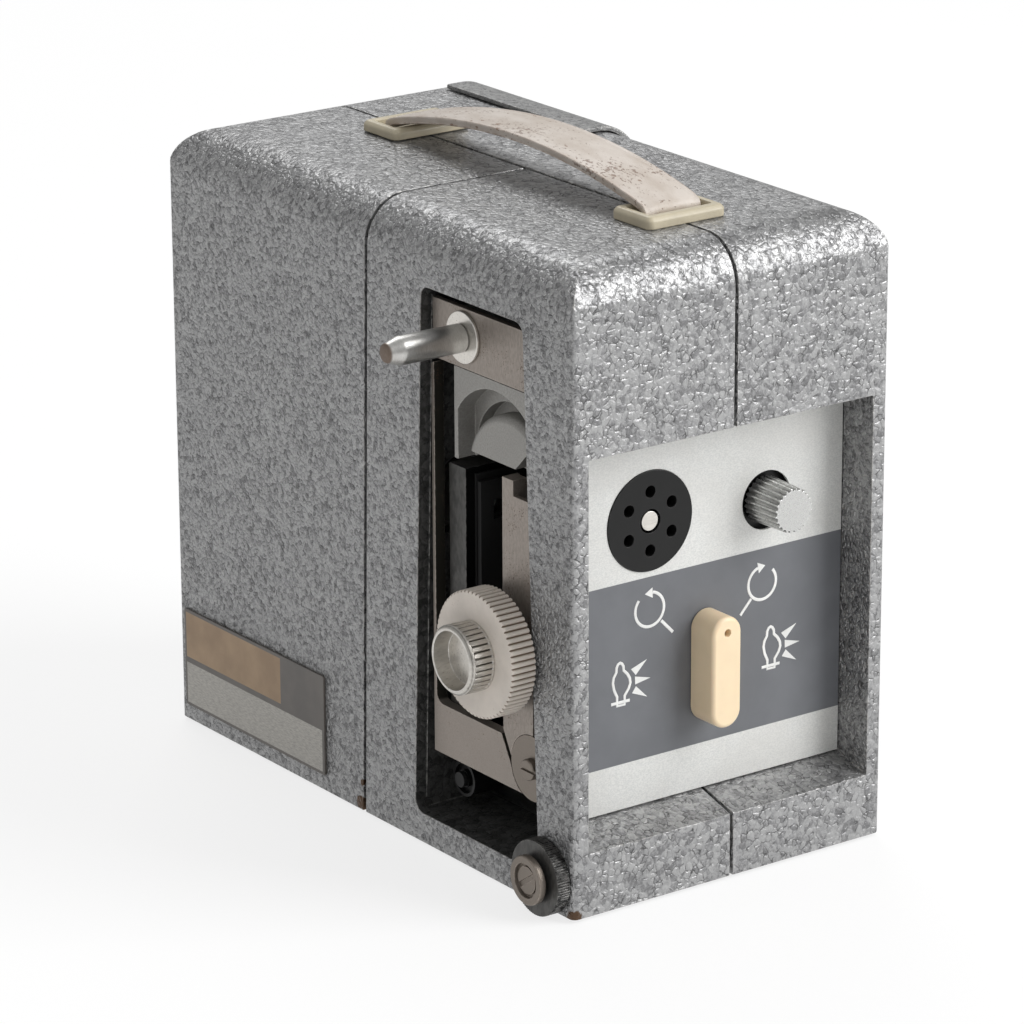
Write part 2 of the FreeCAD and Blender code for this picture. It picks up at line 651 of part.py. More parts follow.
def gate_casting():
    step = MECH_X + SPINDLE_PLATE_T
    low = box(MECH_X, CASTING_BACK, -80.0, CASTING_REAR, CASTING_LOW, SPINDLE_PLATE_LOW - 0.1)
    high = box(step, CASTING_BACK, -80.0, CASTING_REAR, SPINDLE_PLATE_LOW - 0.1, SPINDLE_PLATE_TOP - 1)
    body = low.fuse(high)
    floor = MECH_X + ARCH_DEPTH
    arch = rod("x", (MECH_X - 1, ARCH_Y, ARCH_Z), ARCH_R, floor - MECH_X + 1)
    arch = arch.common(box(MECH_X - 1, floor, -90, ARCH_SIDE, CASTING_LOW - 1, 160))
    below = box(MECH_X - 1, floor, -81, ARCH_SIDE, CASTING_LOW - 1, ARCH_Z)
    body = body.cut(arch.fuse(below))
    niche = rod("x", (MECH_X - 1, ARCH_Y, ARCH_Z), NICHE_R, NICHE_DEPTH + 1)
    under = box(MECH_X - 1, MECH_X + NICHE_DEPTH, -81, ARCH_Y + NICHE_R, CASTING_LOW - 1, ARCH_Z)
    body = body.cut(niche.fuse(under))
    bore = rod("x", (MECH_X, SPINDLE_Y, SPINDLE_Z), 6.0, 20)
    return body.cut(bore).removeSplitter()


def loop_former():
    """Shoe with a rounded rim that the film loop runs over, flat underneath with one slanting end."""
    dome = rod("x", (MECH_X + 0.2, FORMER_Y, FORMER_Z), FORMER_R, ARCH_DEPTH - 0.2)
    rim = [e for e in dome.Edges if e.BoundBox.XMax < MECH_X + 0.25]
    dome = dome.makeFillet(FORMER_EDGE_R, rim)
    reach = FORMER_R + 1
    keep = prism("x", [(FORMER_Y + reach, FORMER_FLAT_Z), (FORMER_Y + reach, FORMER_Z + reach),
                       (-80.0, FORMER_Z + reach), (-80.0, FORMER_FLAT_Z + FORMER_CUT_Y + 80.0),
                       (FORMER_CUT_Y, FORMER_FLAT_Z)], MECH_X, MECH_X + ARCH_DEPTH + 1)
    inside = rod("x", (MECH_X - 1, ARCH_Y, ARCH_Z), ARCH_R - FIT, ARCH_DEPTH + 2)
    return dome.common(keep).common(inside)


def gate_block():
    block = box(GATE_BLOCK_X, LENS_X + 7, GATE_BLOCK_FRONT, GATE_BLOCK_REAR, BAR_LOW + 1, GATE_BLOCK_TOP)
    lug = box(LENS_X + 7, CHASSIS_X, GATE_BLOCK_FRONT, GATE_BLOCK_REAR, LENS_Z - 3, GATE_BLOCK_TOP)
    beam = rod("y", (LENS_X, GATE_BLOCK_FRONT - 1, LENS_Z), 5.5, 12)
    return block.fuse(lug).cut(beam).removeSplitter()


def aperture_plate():
    y1 = GATE_BLOCK_FRONT
    plate = box(LENS_X - 8, LENS_X + 6.5, y1 - 0.8, y1, 60, GATE_BLOCK_TOP - 2)
    return plate.cut(box(LENS_X - 2.7, LENS_X + 2.7, y1 - 2, y1 + 1, LENS_Z - 2, LENS_Z + 2))


def gate_lever():
    """Swinging steel lever of L section that carries the pressure pad and opens the film gate."""
    outline = [
        (LEVER_REAR, PIVOT_Z + 8), (LEVER_REAR, LEVER_TOP), (FINGER_FRONT, LEVER_TOP),
        (FINGER_FRONT, LEVER_SHOULDER), (LEVER_FRONT, LEVER_SHOULDER), (LEVER_FRONT, PIVOT_Z + 7),
        (-84.0, PIVOT_Z + 3), (-84.0, PIVOT_Z - 5), (PIVOT_Y, PIVOT_Z - 7.5), (-70.5, PIVOT_Z - 4),
    ]
    plate = prism("x", outline, MECH_X, MECH_X + LEVER_T)
    flange = box(MECH_X, MECH_X + 5.4, LEVER_REAR - 1.5, LEVER_REAR, BAR_TOP + 4, LEVER_TOP)
    finger = box(MECH_X, MECH_X + 5.0, FINGER_FRONT, LEVER_REAR, LEVER_SHOULDER - 5, LEVER_TOP)
    lever = plate.fuse([flange, finger])
    notch = box(MECH_X - 1, MECH_X + 8, WHEEL_Y - SHAFT_R - 3.2, LEVER_REAR + 1,
                WHEEL_Z - SHAFT_R - 3, WHEEL_Z + SHAFT_R + 3)
    seat = rod("x", (MECH_X - 1, PIVOT_Y, PIVOT_Z), PIVOT_DISC_R + 0.1, 1 + PIVOT_DISC_T)
    pin = rod("x", (MECH_X - 1, PIVOT_Y, PIVOT_Z), 2.0 + RUNNING, 5)
    return lever.cut([notch, seat, pin]).removeSplitter()


def pressure_pad():
    """Spring steel pad behind the film, with the arm that joins it to the lever."""
    y1 = GATE_BLOCK_FRONT - 0.8 - 0.6
    pad = box(LENS_X - 8, LENS_X + 6.5, y1 - 1.6, y1, 56, GATE_BLOCK_TOP - 4)
    pad = pad.cut(box(LENS_X - 3.5, LENS_X + 3.5, y1 - 3, y1 + 1, LENS_Z - 3, LENS_Z + 3))
    arm = box(LENS_X - 8, LENS_X - 6.4, LEVER_REAR, y1 - 1.6, 56, 66)
    foot = box(MECH_X + 3, LENS_X - 6.4, LEVER_REAR, LEVER_REAR + 1.4, 56, 66)
    return pad.fuse([arm, foot]).removeSplitter()


def pivot_disc():
    disc = rod("x", (MECH_X, PIVOT_Y, PIVOT_Z), PIVOT_DISC_R, PIVOT_DISC_T)
    disc = disc.common(box(MECH_X - 1, MECH_X + 5, LIP_BACK + 0.6, 0, 0, BODY_TOP))
    return disc.cut(rod("x", (MECH_X - 1, PIVOT_Y, PIVOT_Z), 2.0 + RUNNING, 3))


def pivot_screw():
    start = MECH_X - 1.9
    head = rod("x", (start, PIVOT_Y, PIVOT_Z), 3.15, 1.8)
    head = head.makeChamfer(0.35, [e for e in head.Edges if e.BoundBox.XMax < start + 0.1])
    slot = box(start - 1, start + 0.8, PIVOT_Y - 4, PIVOT_Y + 4, PIVOT_Z - 0.4, PIVOT_Z + 0.4)
    return head.cut(slot).fuse(rod("x", (start + 1.8, PIVOT_Y, PIVOT_Z), 2.0, 8))


def lever_spring():
    """Leaf riveted to the lever that presses the pad towards the film."""
    x0 = MECH_X + LEVER_T
    leaf = box(x0, x0 + 4.0, LEVER_FRONT, LEVER_FRONT + 0.5, 52.0, 92.0)
    toe = box(x0, x0 + 4.0, LEVER_FRONT - 1.6, LEVER_FRONT, 91.5, 92.0)
    return leaf.fuse(toe).removeSplitter()


def inching_wheel():
    wheel = fluted("x", (WHEEL_FACE, WHEEL_Y, WHEEL_Z), WHEEL_R, 0.75, WHEEL_TEETH, WHEEL_T)
    shoulder = cone("x", (WHEEL_FACE - 0.5, WHEEL_Y, WHEEL_Z), WHEEL_R - 0.9, WHEEL_R + 8.5, 9.4)
    wheel = wheel.common(shoulder)
    return wheel.cut(rod("x", (WHEEL_FACE - 1, WHEEL_Y, WHEEL_Z), SHAFT_R, WHEEL_T + 2))


def hub_cup():
    """Hollow knurled cup on the face of the wheel, with a plain rim and foot and a flat floor."""
    start = WHEEL_FACE - CUP_T
    cup = fluted("x", (start, WHEEL_Y, WHEEL_Z), CUP_R, 0.5, CUP_FLUTES, CUP_T, 0.55)
    bands = [rod("x", (x, WHEEL_Y, WHEEL_Z), CUP_R, 0.8) for x in (start + 0.6, WHEEL_FACE - 0.8)]
    cup = cup.fuse(bands)
    rim = cone("x", (start, WHEEL_Y, WHEEL_Z), CUP_R - 0.9, CUP_R + 4.1, 5)
    rim = rim.fuse(rod("x", (start + 5, WHEEL_Y, WHEEL_Z), CUP_R + 4, 5))
    cup = cup.common(rim)
    mouth = rod("x", (start - 1, WHEEL_Y, WHEEL_Z), CUP_R - CUP_WALL, 1)
    hollow = cone("x", (start, WHEEL_Y, WHEEL_Z), CUP_R - CUP_WALL, CUP_FLOOR_R, CUP_DEPTH)
    seat = rod("x", (WHEEL_FACE - SPIGOT, WHEEL_Y, WHEEL_Z), SHAFT_R - 0.5, SPIGOT + 1)
    return cup.cut(mouth.fuse(hollow)).cut(seat)


def grooved(start_x, y, z, radius, width):
    """Round belt pulley with a V groove."""
    flat = radius + 1.0
    low = cone("x", (start_x, y, z), flat, radius - 0.6, width / 2)
    high = cone("x", (start_x + width / 2, y, z), radius - 0.6, flat, width / 2)
    return low.fuse(high)


def drive_shaft():
    shaft = rod("x", (WHEEL_FACE - SPIGOT, WHEEL_Y, WHEEL_Z), SHAFT_R - 0.5, SPIGOT + 0.4)
    shaft = shaft.fuse(rod("x", (WHEEL_FACE, WHEEL_Y, WHEEL_Z), SHAFT_R, CHASSIS_R + 2 - WHEEL_FACE))
    big = grooved(PULLEY_X, WHEEL_Y, WHEEL_Z, MAIN_PULLEY_R, PULLEY_T)
    small = grooved(PULLEY2_X, WHEEL_Y, WHEEL_Z, MAIN_SMALL_R, PULLEY_T)
    return shaft.fuse([big, small])


def shaft_bracket():
    """Bearing plate for the hand wheel's shaft, on two pillars from the chassis."""
    x0 = LENS_X - 5.6
    thick = 2.5
    outline = [(-78.0, 54.0), (-60.2, 62.0), (-60.2, 84.0), (-78.0, 91.0)]
    plate = prism("x", outline, x0, x0 + thick)
    plate = plate.cut(rod("x", (x0 - 1, WHEEL_Y, WHEEL_Z), SHAFT_R + RUNNING, 5))
    pillars = [rod("x", (x0 + thick, -75.2, z), 1.8, CHASSIS_X - x0 - thick) for z in (88.0, 57.5)]
    return plate.fuse(pillars)


def film_sprocket():
    """Film sprocket with a single row of teeth, its shaft and its small pulley."""
    drum = rod("x", (LENS_X - 5, SPROCKET_Y, SPROCKET_Z), 5.4, 8.6)
    flange = rod("x", (LENS_X - 5, SPROCKET_Y, SPROCKET_Z), 6.6, 1.2)
    teeth = []
    for i in range(10):
        a = 2 * math.pi * i / 10
        y = SPROCKET_Y + 5.2 * math.cos(a)
        z = SPROCKET_Z + 5.2 * math.sin(a)
        tooth = Part.makeCone(0.6, 0.3, 1.3, Vector(LENS_X - 2.6, y, z), Vector(0, math.cos(a), math.sin(a)))
        teeth.append(tooth)
    shaft = rod("x", (LENS_X - 6, SPROCKET_Y, SPROCKET_Z), 1.5, CHASSIS_R + 1.5 - LENS_X + 6)
    pulley = grooved(PULLEY2_X, SPROCKET_Y, SPROCKET_Z, SPROCKET_PULLEY_R, PULLEY_T)
    return drum.fuse([flange, shaft, pulley] + teeth)


def guide_roller():
    roller = ring("x", (ROLLER_X, ROLLER_Y, ROLLER_Z), 5.4, 1.5 + RUNNING, 11)
    return roller.cut(ring("x", (ROLLER_X - 0.5, ROLLER_Y, ROLLER_Z), 4.5, 2.6, 2.0))


def shutter():
    """Thin two-bladed shutter that chops the beam, riveted to its shaft and pulley."""
    x0 = CHASSIS_R + 2.6
    disc = rod("x", (x0, SHUTTER_Y, SHUTTER_Z), SHUTTER_R, 0.8)
    for start in (40, 220):
        outline = [(SHUTTER_Y, SHUTTER_Z)]
        for step in range(7):
            a = math.radians(start + 15 * step)
            outline.append((SHUTTER_Y + 60 * math.cos(a), SHUTTER_Z + 60 * math.sin(a)))
        sector = prism("x", outline, x0 - 1, x0 + 2)
        disc = disc.cut(sector.cut(rod("x", (x0 - 1, SHUTTER_Y, SHUTTER_Z), 14, 3)))
    shaft = rod("x", (PULLEY_X - 1, SHUTTER_Y, SHUTTER_Z), 2.0, x0 + 2.5 - PULLEY_X)
    pulley = grooved(PULLEY_X, SHUTTER_Y, SHUTTER_Z, SHUTTER_PULLEY_R, PULLEY_T)
    return disc.fuse([shaft, pulley])


def belt(x, first, second):
    """Round belt, drawn as a square-section loop, round two pulleys (y, z, radius)."""
    (y1, z1, r1), (y2, z2, r2) = first, second
    span = math.hypot(y2 - y1, z2 - z1)
    base = math.atan2(z2 - z1, y2 - y1)
    spread = math.acos((r1 - r2) / span)

    def loop(grow, x0, width):
        a1, a2 = base + spread, base - spread
        p1 = Vector(x0, y1 + (r1 + grow) * math.cos(a1), z1 + (r1 + grow) * math.sin(a1))
        p2 = Vector(x0, y2 + (r2 + grow) * math.cos(a1), z2 + (r2 + grow) * math.sin(a1))
        m2 = Vector(x0, y2 + (r2 + grow) * math.cos(base), z2 + (r2 + grow) * math.sin(base))
        p3 = Vector(x0, y2 + (r2 + grow) * math.cos(a2), z2 + (r2 + grow) * math.sin(a2))
        p4 = Vector(x0, y1 + (r1 + grow) * math.cos(a2), z1 + (r1 + grow) * math.sin(a2))
        m1 = Vector(x0, y1 - (r1 + grow) * math.cos(base), z1 - (r1 + grow) * math.sin(base))
        edges = [Part.makeLine(p1, p2), Part.Arc(p2, m2, p3).toShape(), Part.makeLine(p3, p4),
                 Part.Arc(p4, m1, p1).toShape()]
        return Part.Face(Part.Wire(edges)).extrude(Vector(width, 0, 0))

    return loop(2.3, x - 0.6, 1.2).cut(loop(1.1, x - 1, 2.0))


def drive_belts():
    middle = PULLEY_X + PULLEY_T / 2
    middle2 = PULLEY2_X + PULLEY_T / 2
    main = (WHEEL_Y, WHEEL_Z, MAIN_PULLEY_R)
    small = (WHEEL_Y, WHEEL_Z, MAIN_SMALL_R)
    return [
        belt(middle - 0.9, main, (MOTOR_Y, MOTOR_Z, MOTOR_PULLEY_R)),
        belt(middle + 0.9, main, (SHUTTER_Y, SHUTTER_Z, SHUTTER_PULLEY_R)),
        belt(middle2, small, (SPROCKET_Y, SPROCKET_Z, SPROCKET_PULLEY_R)),
    ]


def motor_body():
    can = rod("x", (CHASSIS_R, MOTOR_Y, MOTOR_Z), MOTOR_R, MOTOR_LEN)
    hollow = rod("x", (CHASSIS_R + 3, MOTOR_Y, MOTOR_Z), MOTOR_R - 2, MOTOR_LEN - 6)
    bore = rod("x", (CHASSIS_R - 1, MOTOR_Y, MOTOR_Z), 2.0 + RUNNING, MOTOR_LEN + 2)
    return can.cut(hollow).cut(bore)


def motor_shaft():
    shaft = rod("x", (PULLEY_X - 1, MOTOR_Y, MOTOR_Z), 2.0, MOTOR_LEN + CHASSIS_R - PULLEY_X + 16)
    pulley = grooved(PULLEY_X, MOTOR_Y, MOTOR_Z, MOTOR_PULLEY_R, PULLEY_T)
    armature = rod("x", (CHASSIS_R + 8, MOTOR_Y, MOTOR_Z), 12.0, MOTOR_LEN - 16)
    return shaft.fuse([pulley, armature])


def fan_impeller():
    """Cooling fan with flat radial blades between a hub and a back plate."""
    x0 = CHASSIS_R + MOTOR_LEN + 2
    plate = rod("x", (x0, MOTOR_Y, MOTOR_Z), 21, 1.2)
    hub = rod("x", (x0, MOTOR_Y, MOTOR_Z), 5, 11)
    blades = []
    for i in range(12):
        blade = box(x0 + 1, x0 + 10.5, MOTOR_Y + 4.5, MOTOR_Y + 20.5, MOTOR_Z - 0.5, MOTOR_Z + 0.5)
        blade.rotate(Vector(x0, MOTOR_Y, MOTOR_Z), AXES["x"], 30 * i)
        blades.append(blade)
    return plate.fuse([hub] + blades).cut(rod("x", (x0 - 1, MOTOR_Y, MOTOR_Z), 2.0, 14))


def chassis_plate():
    """Upright sheet-metal chassis that carries the film mechanism on one side, the electrics on the other."""
    outline = [(-77.0, FLOOR_Z), (96.0, FLOOR_Z), (96.0, 150.0), (70.0, 172.0), (-70.0, 172.0),
               (-70.0, 92.0), (-77.0, 92.0)]
    plate = prism("x", outline, CHASSIS_X, CHASSIS_R)
    feet = [box(CHASSIS_R, CHASSIS_R + 6, y0, y1, FLOOR_Z, FLOOR_Z + CHASSIS_T)
            for y0, y1 in ((28, 96), (-60, -16))]
    mirror_back = box(-9.0, 9.0, -3.0, -1.6, -10.5, 9.5)
    mirror_back.rotate(Vector(0, 0, 0), AXES["z"], -45)
    mirror_back.translate(Vector(LENS_X, BEAM_Y, LENS_Z))
    mirror_tab = box(LENS_X + 4.6, CHASSIS_X, BEAM_Y - 9.2, BEAM_Y - 7.8, LENS_Z - 10.5, LENS_Z + 9.5)
    plate = plate.fuse(feet + [mirror_back, mirror_tab])
    for y, z, r in ((BEAM_Y, LENS_Z, 9.0), (WHEEL_Y, WHEEL_Z, SHAFT_R + RUNNING),
                    (SPROCKET_Y, SPROCKET_Z, 1.5 + RUNNING), (SHUTTER_Y, SHUTTER_Z, 2.0 + RUNNING),
                    (MOTOR_Y, MOTOR_Z, 6.0)):
        plate = plate.cut(rod("x", (CHASSIS_X - 1, y, z), r, CHASSIS_T + 2))
    return plate.removeSplitter()


def mechanism_posts():
    """Turned posts between the chassis and the film mechanism, and the guide roller's pin."""
    posts = [rod("x", (CASTING_BACK, y, z), 3.5, CHASSIS_X - CASTING_BACK)
             for y, z in ((-64.0, 160.0), (-47.0, 140.0))]
    posts += [rod("x", (FRAME_BACK, y, z), 3.0, CHASSIS_X - FRAME_BACK)
              for y, z in ((-50.0, 36.5), (-66.0, 36.5))]
    y, z = ROLLER_Y, ROLLER_Z
    pin = rod("x", (ROLLER_X - 1.0, y, z), 1.5, CHASSIS_X - ROLLER_X + 1.0)
    return posts + [pin.fuse(rod("x", (ROLLER_X - 1.6, y, z), 2.3, 1.3))]


def fold_mirror():
    """Front-surface mirror at 45 degrees that turns the lamp's beam towards the lens."""
    glass = box(-9.0, 9.0, -1.6, 0, -9.5, 9.5)
    glass.rotate(Vector(0, 0, 0), AXES["z"], -45)
    glass.translate(Vector(LENS_X, BEAM_Y, LENS_Z))
    return glass


def lamp_bench():
    """Bent bracket with one upright for the condenser and one for the lamp socket."""
    thick = 1.5
    y0, y1 = BEAM_Y - 11.5, BEAM_Y + 13.0
    top = LENS_Z + 13.5
    base = box(CONDENSER_X, LAMP_BACK_X + thick, y0, y1, FLOOR_Z, FLOOR_Z + thick)
    near = box(CONDENSER_X, CONDENSER_X + thick, y0, y1, FLOOR_Z, top)
    far = box(LAMP_BACK_X, LAMP_BACK_X + thick, y0, y1, FLOOR_Z, top)
    cell = ring("x", (CONDENSER_X + thick, BEAM_Y, LENS_Z), 11.4, 10.1, 8)
    bench = base.fuse([near, far, cell])
    return bench.cut(rod("x", (CONDENSER_X - 1, BEAM_Y, LENS_Z), 8.5, 4)).removeSplitter()


def condenser_lenses():
    """A heat filter disc and a plano-convex condenser in one cell."""
    x0 = CONDENSER_X + 1.5
    heat_filter = rod("x", (x0, BEAM_Y, LENS_Z), 10.1, 1.8)
    flat = rod("x", (x0 + 3.0, BEAM_Y, LENS_Z), 10.1, 1.2)
    radius = 15.0
    centre = Vector(x0 + 4.2 + 3.6 - radius, BEAM_Y, LENS_Z)
    dome = Part.makeSphere(radius, centre).common(rod("x", (x0 + 4.2, BEAM_Y, LENS_Z), 9.6, 10))
    return [heat_filter, flat.fuse(dome)]


def reflector():
    """Bowl reflector, open towards the condenser, with a neck that seats on the lamp socket."""
    x0 = LAMP_BACK_X - 29.5
    outer = cone("x", (x0, BEAM_Y, LENS_Z), 14.2, 6.0, 17)
    neck = rod("x", (x0 + 17, BEAM_Y, LENS_Z), 6.0, LAMP_BACK_X - 10 - x0 - 17)
    inner = cone("x", (x0 - 0.1, BEAM_Y, LENS_Z), 13.2, 5.0, 16)
    return outer.fuse(neck).cut(inner).cut(rod("x", (x0, BEAM_Y, LENS_Z), 4.0, 40)).removeSplitter()


def lamp_bulb():
    back = LAMP_BACK_X - 10.5
    glass = rod("x", (back - 12, BEAM_Y, LENS_Z), 3.4, 12)
    dome = Part.makeSphere(3.4, Vector(back - 12, BEAM_Y, LENS_Z))
    pins = [rod("x", (back, BEAM_Y + s * 2.0, LENS_Z), 0.6, 6.5) for s in (-1, 1)]
    return glass.fuse([dome] + pins)


def lamp_socket():
    front = LAMP_BACK_X - 10
    body = box(front, LAMP_BACK_X, BEAM_Y - 8, BEAM_Y + 8, LENS_Z - 8, LENS_Z + 8)
    for s in (-1, 1):
        body = body.cut(rod("x", (front - 1, BEAM_Y + s * 2.0, LENS_Z), 0.61, 7.0))
    return fillet_along(body, "x", 2.0)


def lens_mount():
    tube = ring("y", (LENS_X, -20.0, LENS_Z), LENS_BARREL_R + 1.6, LENS_BARREL_R + RUNNING, 104)
    saddle = box(LENS_X + 6, CHASSIS_X, 8, 56, LENS_Z - 9, LENS_Z + 9)
    return tube.fuse(saddle.cut(rod("y", (LENS_X, 0, LENS_Z), LENS_BARREL_R + 1, 60))).removeSplitter()


def lens_barrel():
    """Sliding lens tube with a ribbed focusing rim at its front end."""
    tube = rod("y", (LENS_X, 28.0, LENS_Z), LENS_BARREL_R, 66)
    rim = fluted("y", (LENS_X, 87.5, LENS_Z), LENS_BARREL_R + 2.2, 0.5, 40, 6.5)
    return tube.fuse(rim).cut(rod("y", (LENS_X, 20.0, LENS_Z), LENS_BARREL_R - 1.5, 80))


def lens_elements():
    """Three glasses of the projection lens, two convex and one flat-backed."""
    glasses = []
    radius = LENS_BARREL_R - 1.5
    for y, curve in ((86.0, 14.0), (70.0, 18.0), (36.0, 16.0)):
        disc = rod("y", (LENS_X, y, LENS_Z), radius, 2.0)
        sag = curve - math.sqrt(curve * curve - radius * radius)
        ball = Part.makeSphere(curve, Vector(LENS_X, y + 2.0 + sag - curve, LENS_Z))
        cap = ball.common(rod("y", (LENS_X, y + 2.0, LENS_Z), radius, 8))
        glasses.append(disc.fuse(cap))
    return glasses


def transformer_core():
    """Laminated core with its two windows."""
    core = box(-14, 46, 44, 76, FLOOR_Z, FLOOR_Z + 50)
    for x0, x1 in ((-4, 6), (26, 36)):
        core = core.cut(box(x0, x1, 43, 77, FLOOR_Z + 10, FLOOR_Z + 40))
    return core


def transformer_coil():
    low, high = FLOOR_Z + 10.4, FLOOR_Z + 39.6
    coil = box(-3.6, 35.6, 35, 85, low, high)
    coil = fillet_along(coil, "z", 5.0)
    return coil.cut(box(6, 26, 44, 76, low - 1, high + 1))


def terminal_posts():
    return [(y, z) for y in (22.0, 84.0) for z in (108.0, 168.0)]


def mains_inlet():
    """Moulded board behind the service door with a shrouded two-pin inlet for a detachable lead."""
    x1 = TERMINAL_X
    board = box(x1 - 1.6, x1, 18, 87.5, 103, 173)
    shroud = box(x1 - 12, x1 + 1.6, 31.2, 54.8, 113.2, 130.8)
    inside = box(x1 - 10, x1 + 2, 33, 53, 115, 129)
    dial = rod("x", (x1, 70, 140), 7.0, 2.5).cut(box(x1 + 1.5, x1 + 4, 62, 78, 139.2, 140.8))
    pins = [rod("x", (x1 - 11, y, 122), 2.0, 9) for y in (38.0, 48.0)]
    return board.fuse([shroud, dial]).cut(inside).fuse(pins).removeSplitter()


def tilt_knob():
    """Knurled levelling knob with its threaded stud."""
    start = LEFT - TILT_T - 0.3
    disc = fluted("x", (start, TILT_Y, TILT_Z), TILT_R, 0.3, 90, TILT_T)
    hub = rod("x", (start - 1.3, TILT_Y, TILT_Z), 5.2, 1.3)
    stud = rod("x", (start + TILT_T, TILT_Y, TILT_Z), 2.0, 9.2)
    bore = rod("x", (start - 2, TILT_Y, TILT_Z), 1.6, 6)
    return disc.fuse([hub, stud]).cut(bore)


def tilt_cap():
    start = LEFT - TILT_T - 0.3 - 1.3 - 2.1
    cap = rod("x", (start, TILT_Y, TILT_Z), TILT_CAP_R, 2.1)
    cap = cap.makeChamfer(0.3, [e for e in cap.Edges if e.BoundBox.XMax < start + 0.01])
    cap = cap.cut(rod("x", (start - 1, TILT_Y, TILT_Z), 5.1, 2.3))
    return cap.cut(rod("x", (start, TILT_Y, TILT_Z), 1.6, 4))


def tilt_screw():
    start = LEFT - TILT_T - 0.3 - 1.3 - 2.1
    head = rod("x", (start + 0.6, TILT_Y, TILT_Z), 4.1, 0.7)
    slot = box(start - 1, start + 1.1, TILT_Y - 5, TILT_Y + 5, TILT_Z - 0.75, TILT_Z + 0.75)
    slot.rotate(Vector(start, TILT_Y, TILT_Z), AXES["x"], -35)
    shank = rod("x", (start + 1.3, TILT_Y, TILT_Z), 1.5, 5.5)
    return head.cut(slot).fuse(shank)


def save(name, shape):
    solids = shape if isinstance(shape, list) else [shape]
    solids = [solid for item in solids for solid in item.Solids]
    result = solids[0] if len(solids) == 1 else Part.makeCompound(solids)
    result.exportStep("parts/" + name + ".step")
    box_ = result.BoundBox
    sizes = "x %.1f..%.1f y %.1f..%.1f z %.1f..%.1f" % (
        box_.XMin, box_.XMax, box_.YMin, box_.YMax, box_.ZMin, box_.ZMax)
    print("%-20s solids %d valid %s %s" % (name, len(solids), result.isValid(), sizes))


def main():
    os.makedirs("parts", exist_ok=True)
    body = drilled_for_base(housing())
    pieces = {
        "right_shell": right_shell(body),
        "gate_side_shell": gate_side_shell(body),
        "rear_side_cover": rear_side_cover(body),
        "nameplate": nameplate(),
        "base_plate": base_plate(),
        "rubber_feet": rubber_feet(),
        "service_door": service_door(),
        "door_hinge_pin": door_hinge_pin(),
        "handle_strap": handle_strap(),
        "handle_bracket_front": handle_bracket(BRACKET_FRONT_Y),
        "handle_bracket_rear": handle_bracket(BRACKET_REAR_Y),
        "housing_screws": housing_screws(),
        "control_panel": control_panel(),
        "round_socket": round_socket(),
        "socket_pin": socket_pin(),
        "fluted_knob": fluted_knob(),
        "rotary_control": rotary_control(),
        "selector_handle": selector_handle(),
        "selector_switch": selector_switch(),
        "gate_frame": gate_frame(),
        "spindle_plate": spindle_plate(),
        "spindle_bush": spindle_bush(),
        "reel_spindle": reel_spindle(),
        "gate_casting": gate_casting(),
        "loop_former": loop_former(),
        "gate_block": gate_block(),
        "aperture_plate": aperture_plate(),
        "gate_lever": gate_lever(),
        "pressure_pad": pressure_pad(),
        "pivot_disc": pivot_disc(),
        "pivot_screw": pivot_screw(),
        "lever_spring": lever_spring(),
        "inching_wheel": inching_wheel(),
        "hub_cup": hub_cup(),
        "drive_shaft": drive_shaft(),
        "shaft_bracket": shaft_bracket(),
        "film_sprocket": film_sprocket(),
        "guide_roller": guide_roller(),
        "shutter": shutter(),
        "drive_belts": drive_belts(),
        "motor_body": motor_body(),
        "motor_shaft": motor_shaft(),
        "fan_impeller": fan_impeller(),
        "chassis_plate": chassis_plate(),
        "mechanism_posts": mechanism_posts(),
        "fold_mirror": fold_mirror(),
        "lamp_bench": lamp_bench(),
        "condenser_lenses": condenser_lenses(),
        "reflector": reflector(),
        "lamp_bulb": lamp_bulb(),
        "lamp_socket": lamp_socket(),
        "lens_mount": lens_mount(),
        "lens_barrel": lens_barrel(),
        "lens_elements": lens_elements(),
        "transformer_core": transformer_core(),
        "transformer_coil": transformer_coil(),
        "mains_inlet": mains_inlet(),
        "tilt_knob": tilt_knob(),
        "tilt_cap": tilt_cap(),
        "tilt_screw": tilt_screw(),
    }
    for name, shape in pieces.items():
        save(name, shape)


main()
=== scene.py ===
"""Looks of a small portable film projector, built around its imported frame."""

import json
import math

import bmesh
import bpy
from mathutils import Euler, Matrix, Vector


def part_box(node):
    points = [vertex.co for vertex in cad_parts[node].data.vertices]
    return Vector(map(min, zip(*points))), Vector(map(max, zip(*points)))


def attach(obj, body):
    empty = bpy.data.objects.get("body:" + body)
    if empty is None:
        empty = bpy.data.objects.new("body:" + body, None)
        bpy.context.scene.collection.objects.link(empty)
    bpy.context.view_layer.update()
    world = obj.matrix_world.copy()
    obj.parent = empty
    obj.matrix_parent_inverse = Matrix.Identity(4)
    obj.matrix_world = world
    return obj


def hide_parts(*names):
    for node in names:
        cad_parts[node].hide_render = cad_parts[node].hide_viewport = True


bl_info = {
    "name": "Portable film projector",
    "version": (1, 0, 0),
    "blender": (4, 5, 0),
    "location": "View3D > Sidebar > Projector",
    "description": "Models and finishes the pieces of a small film projector in a hammertone case",
    "category": "Object",
}

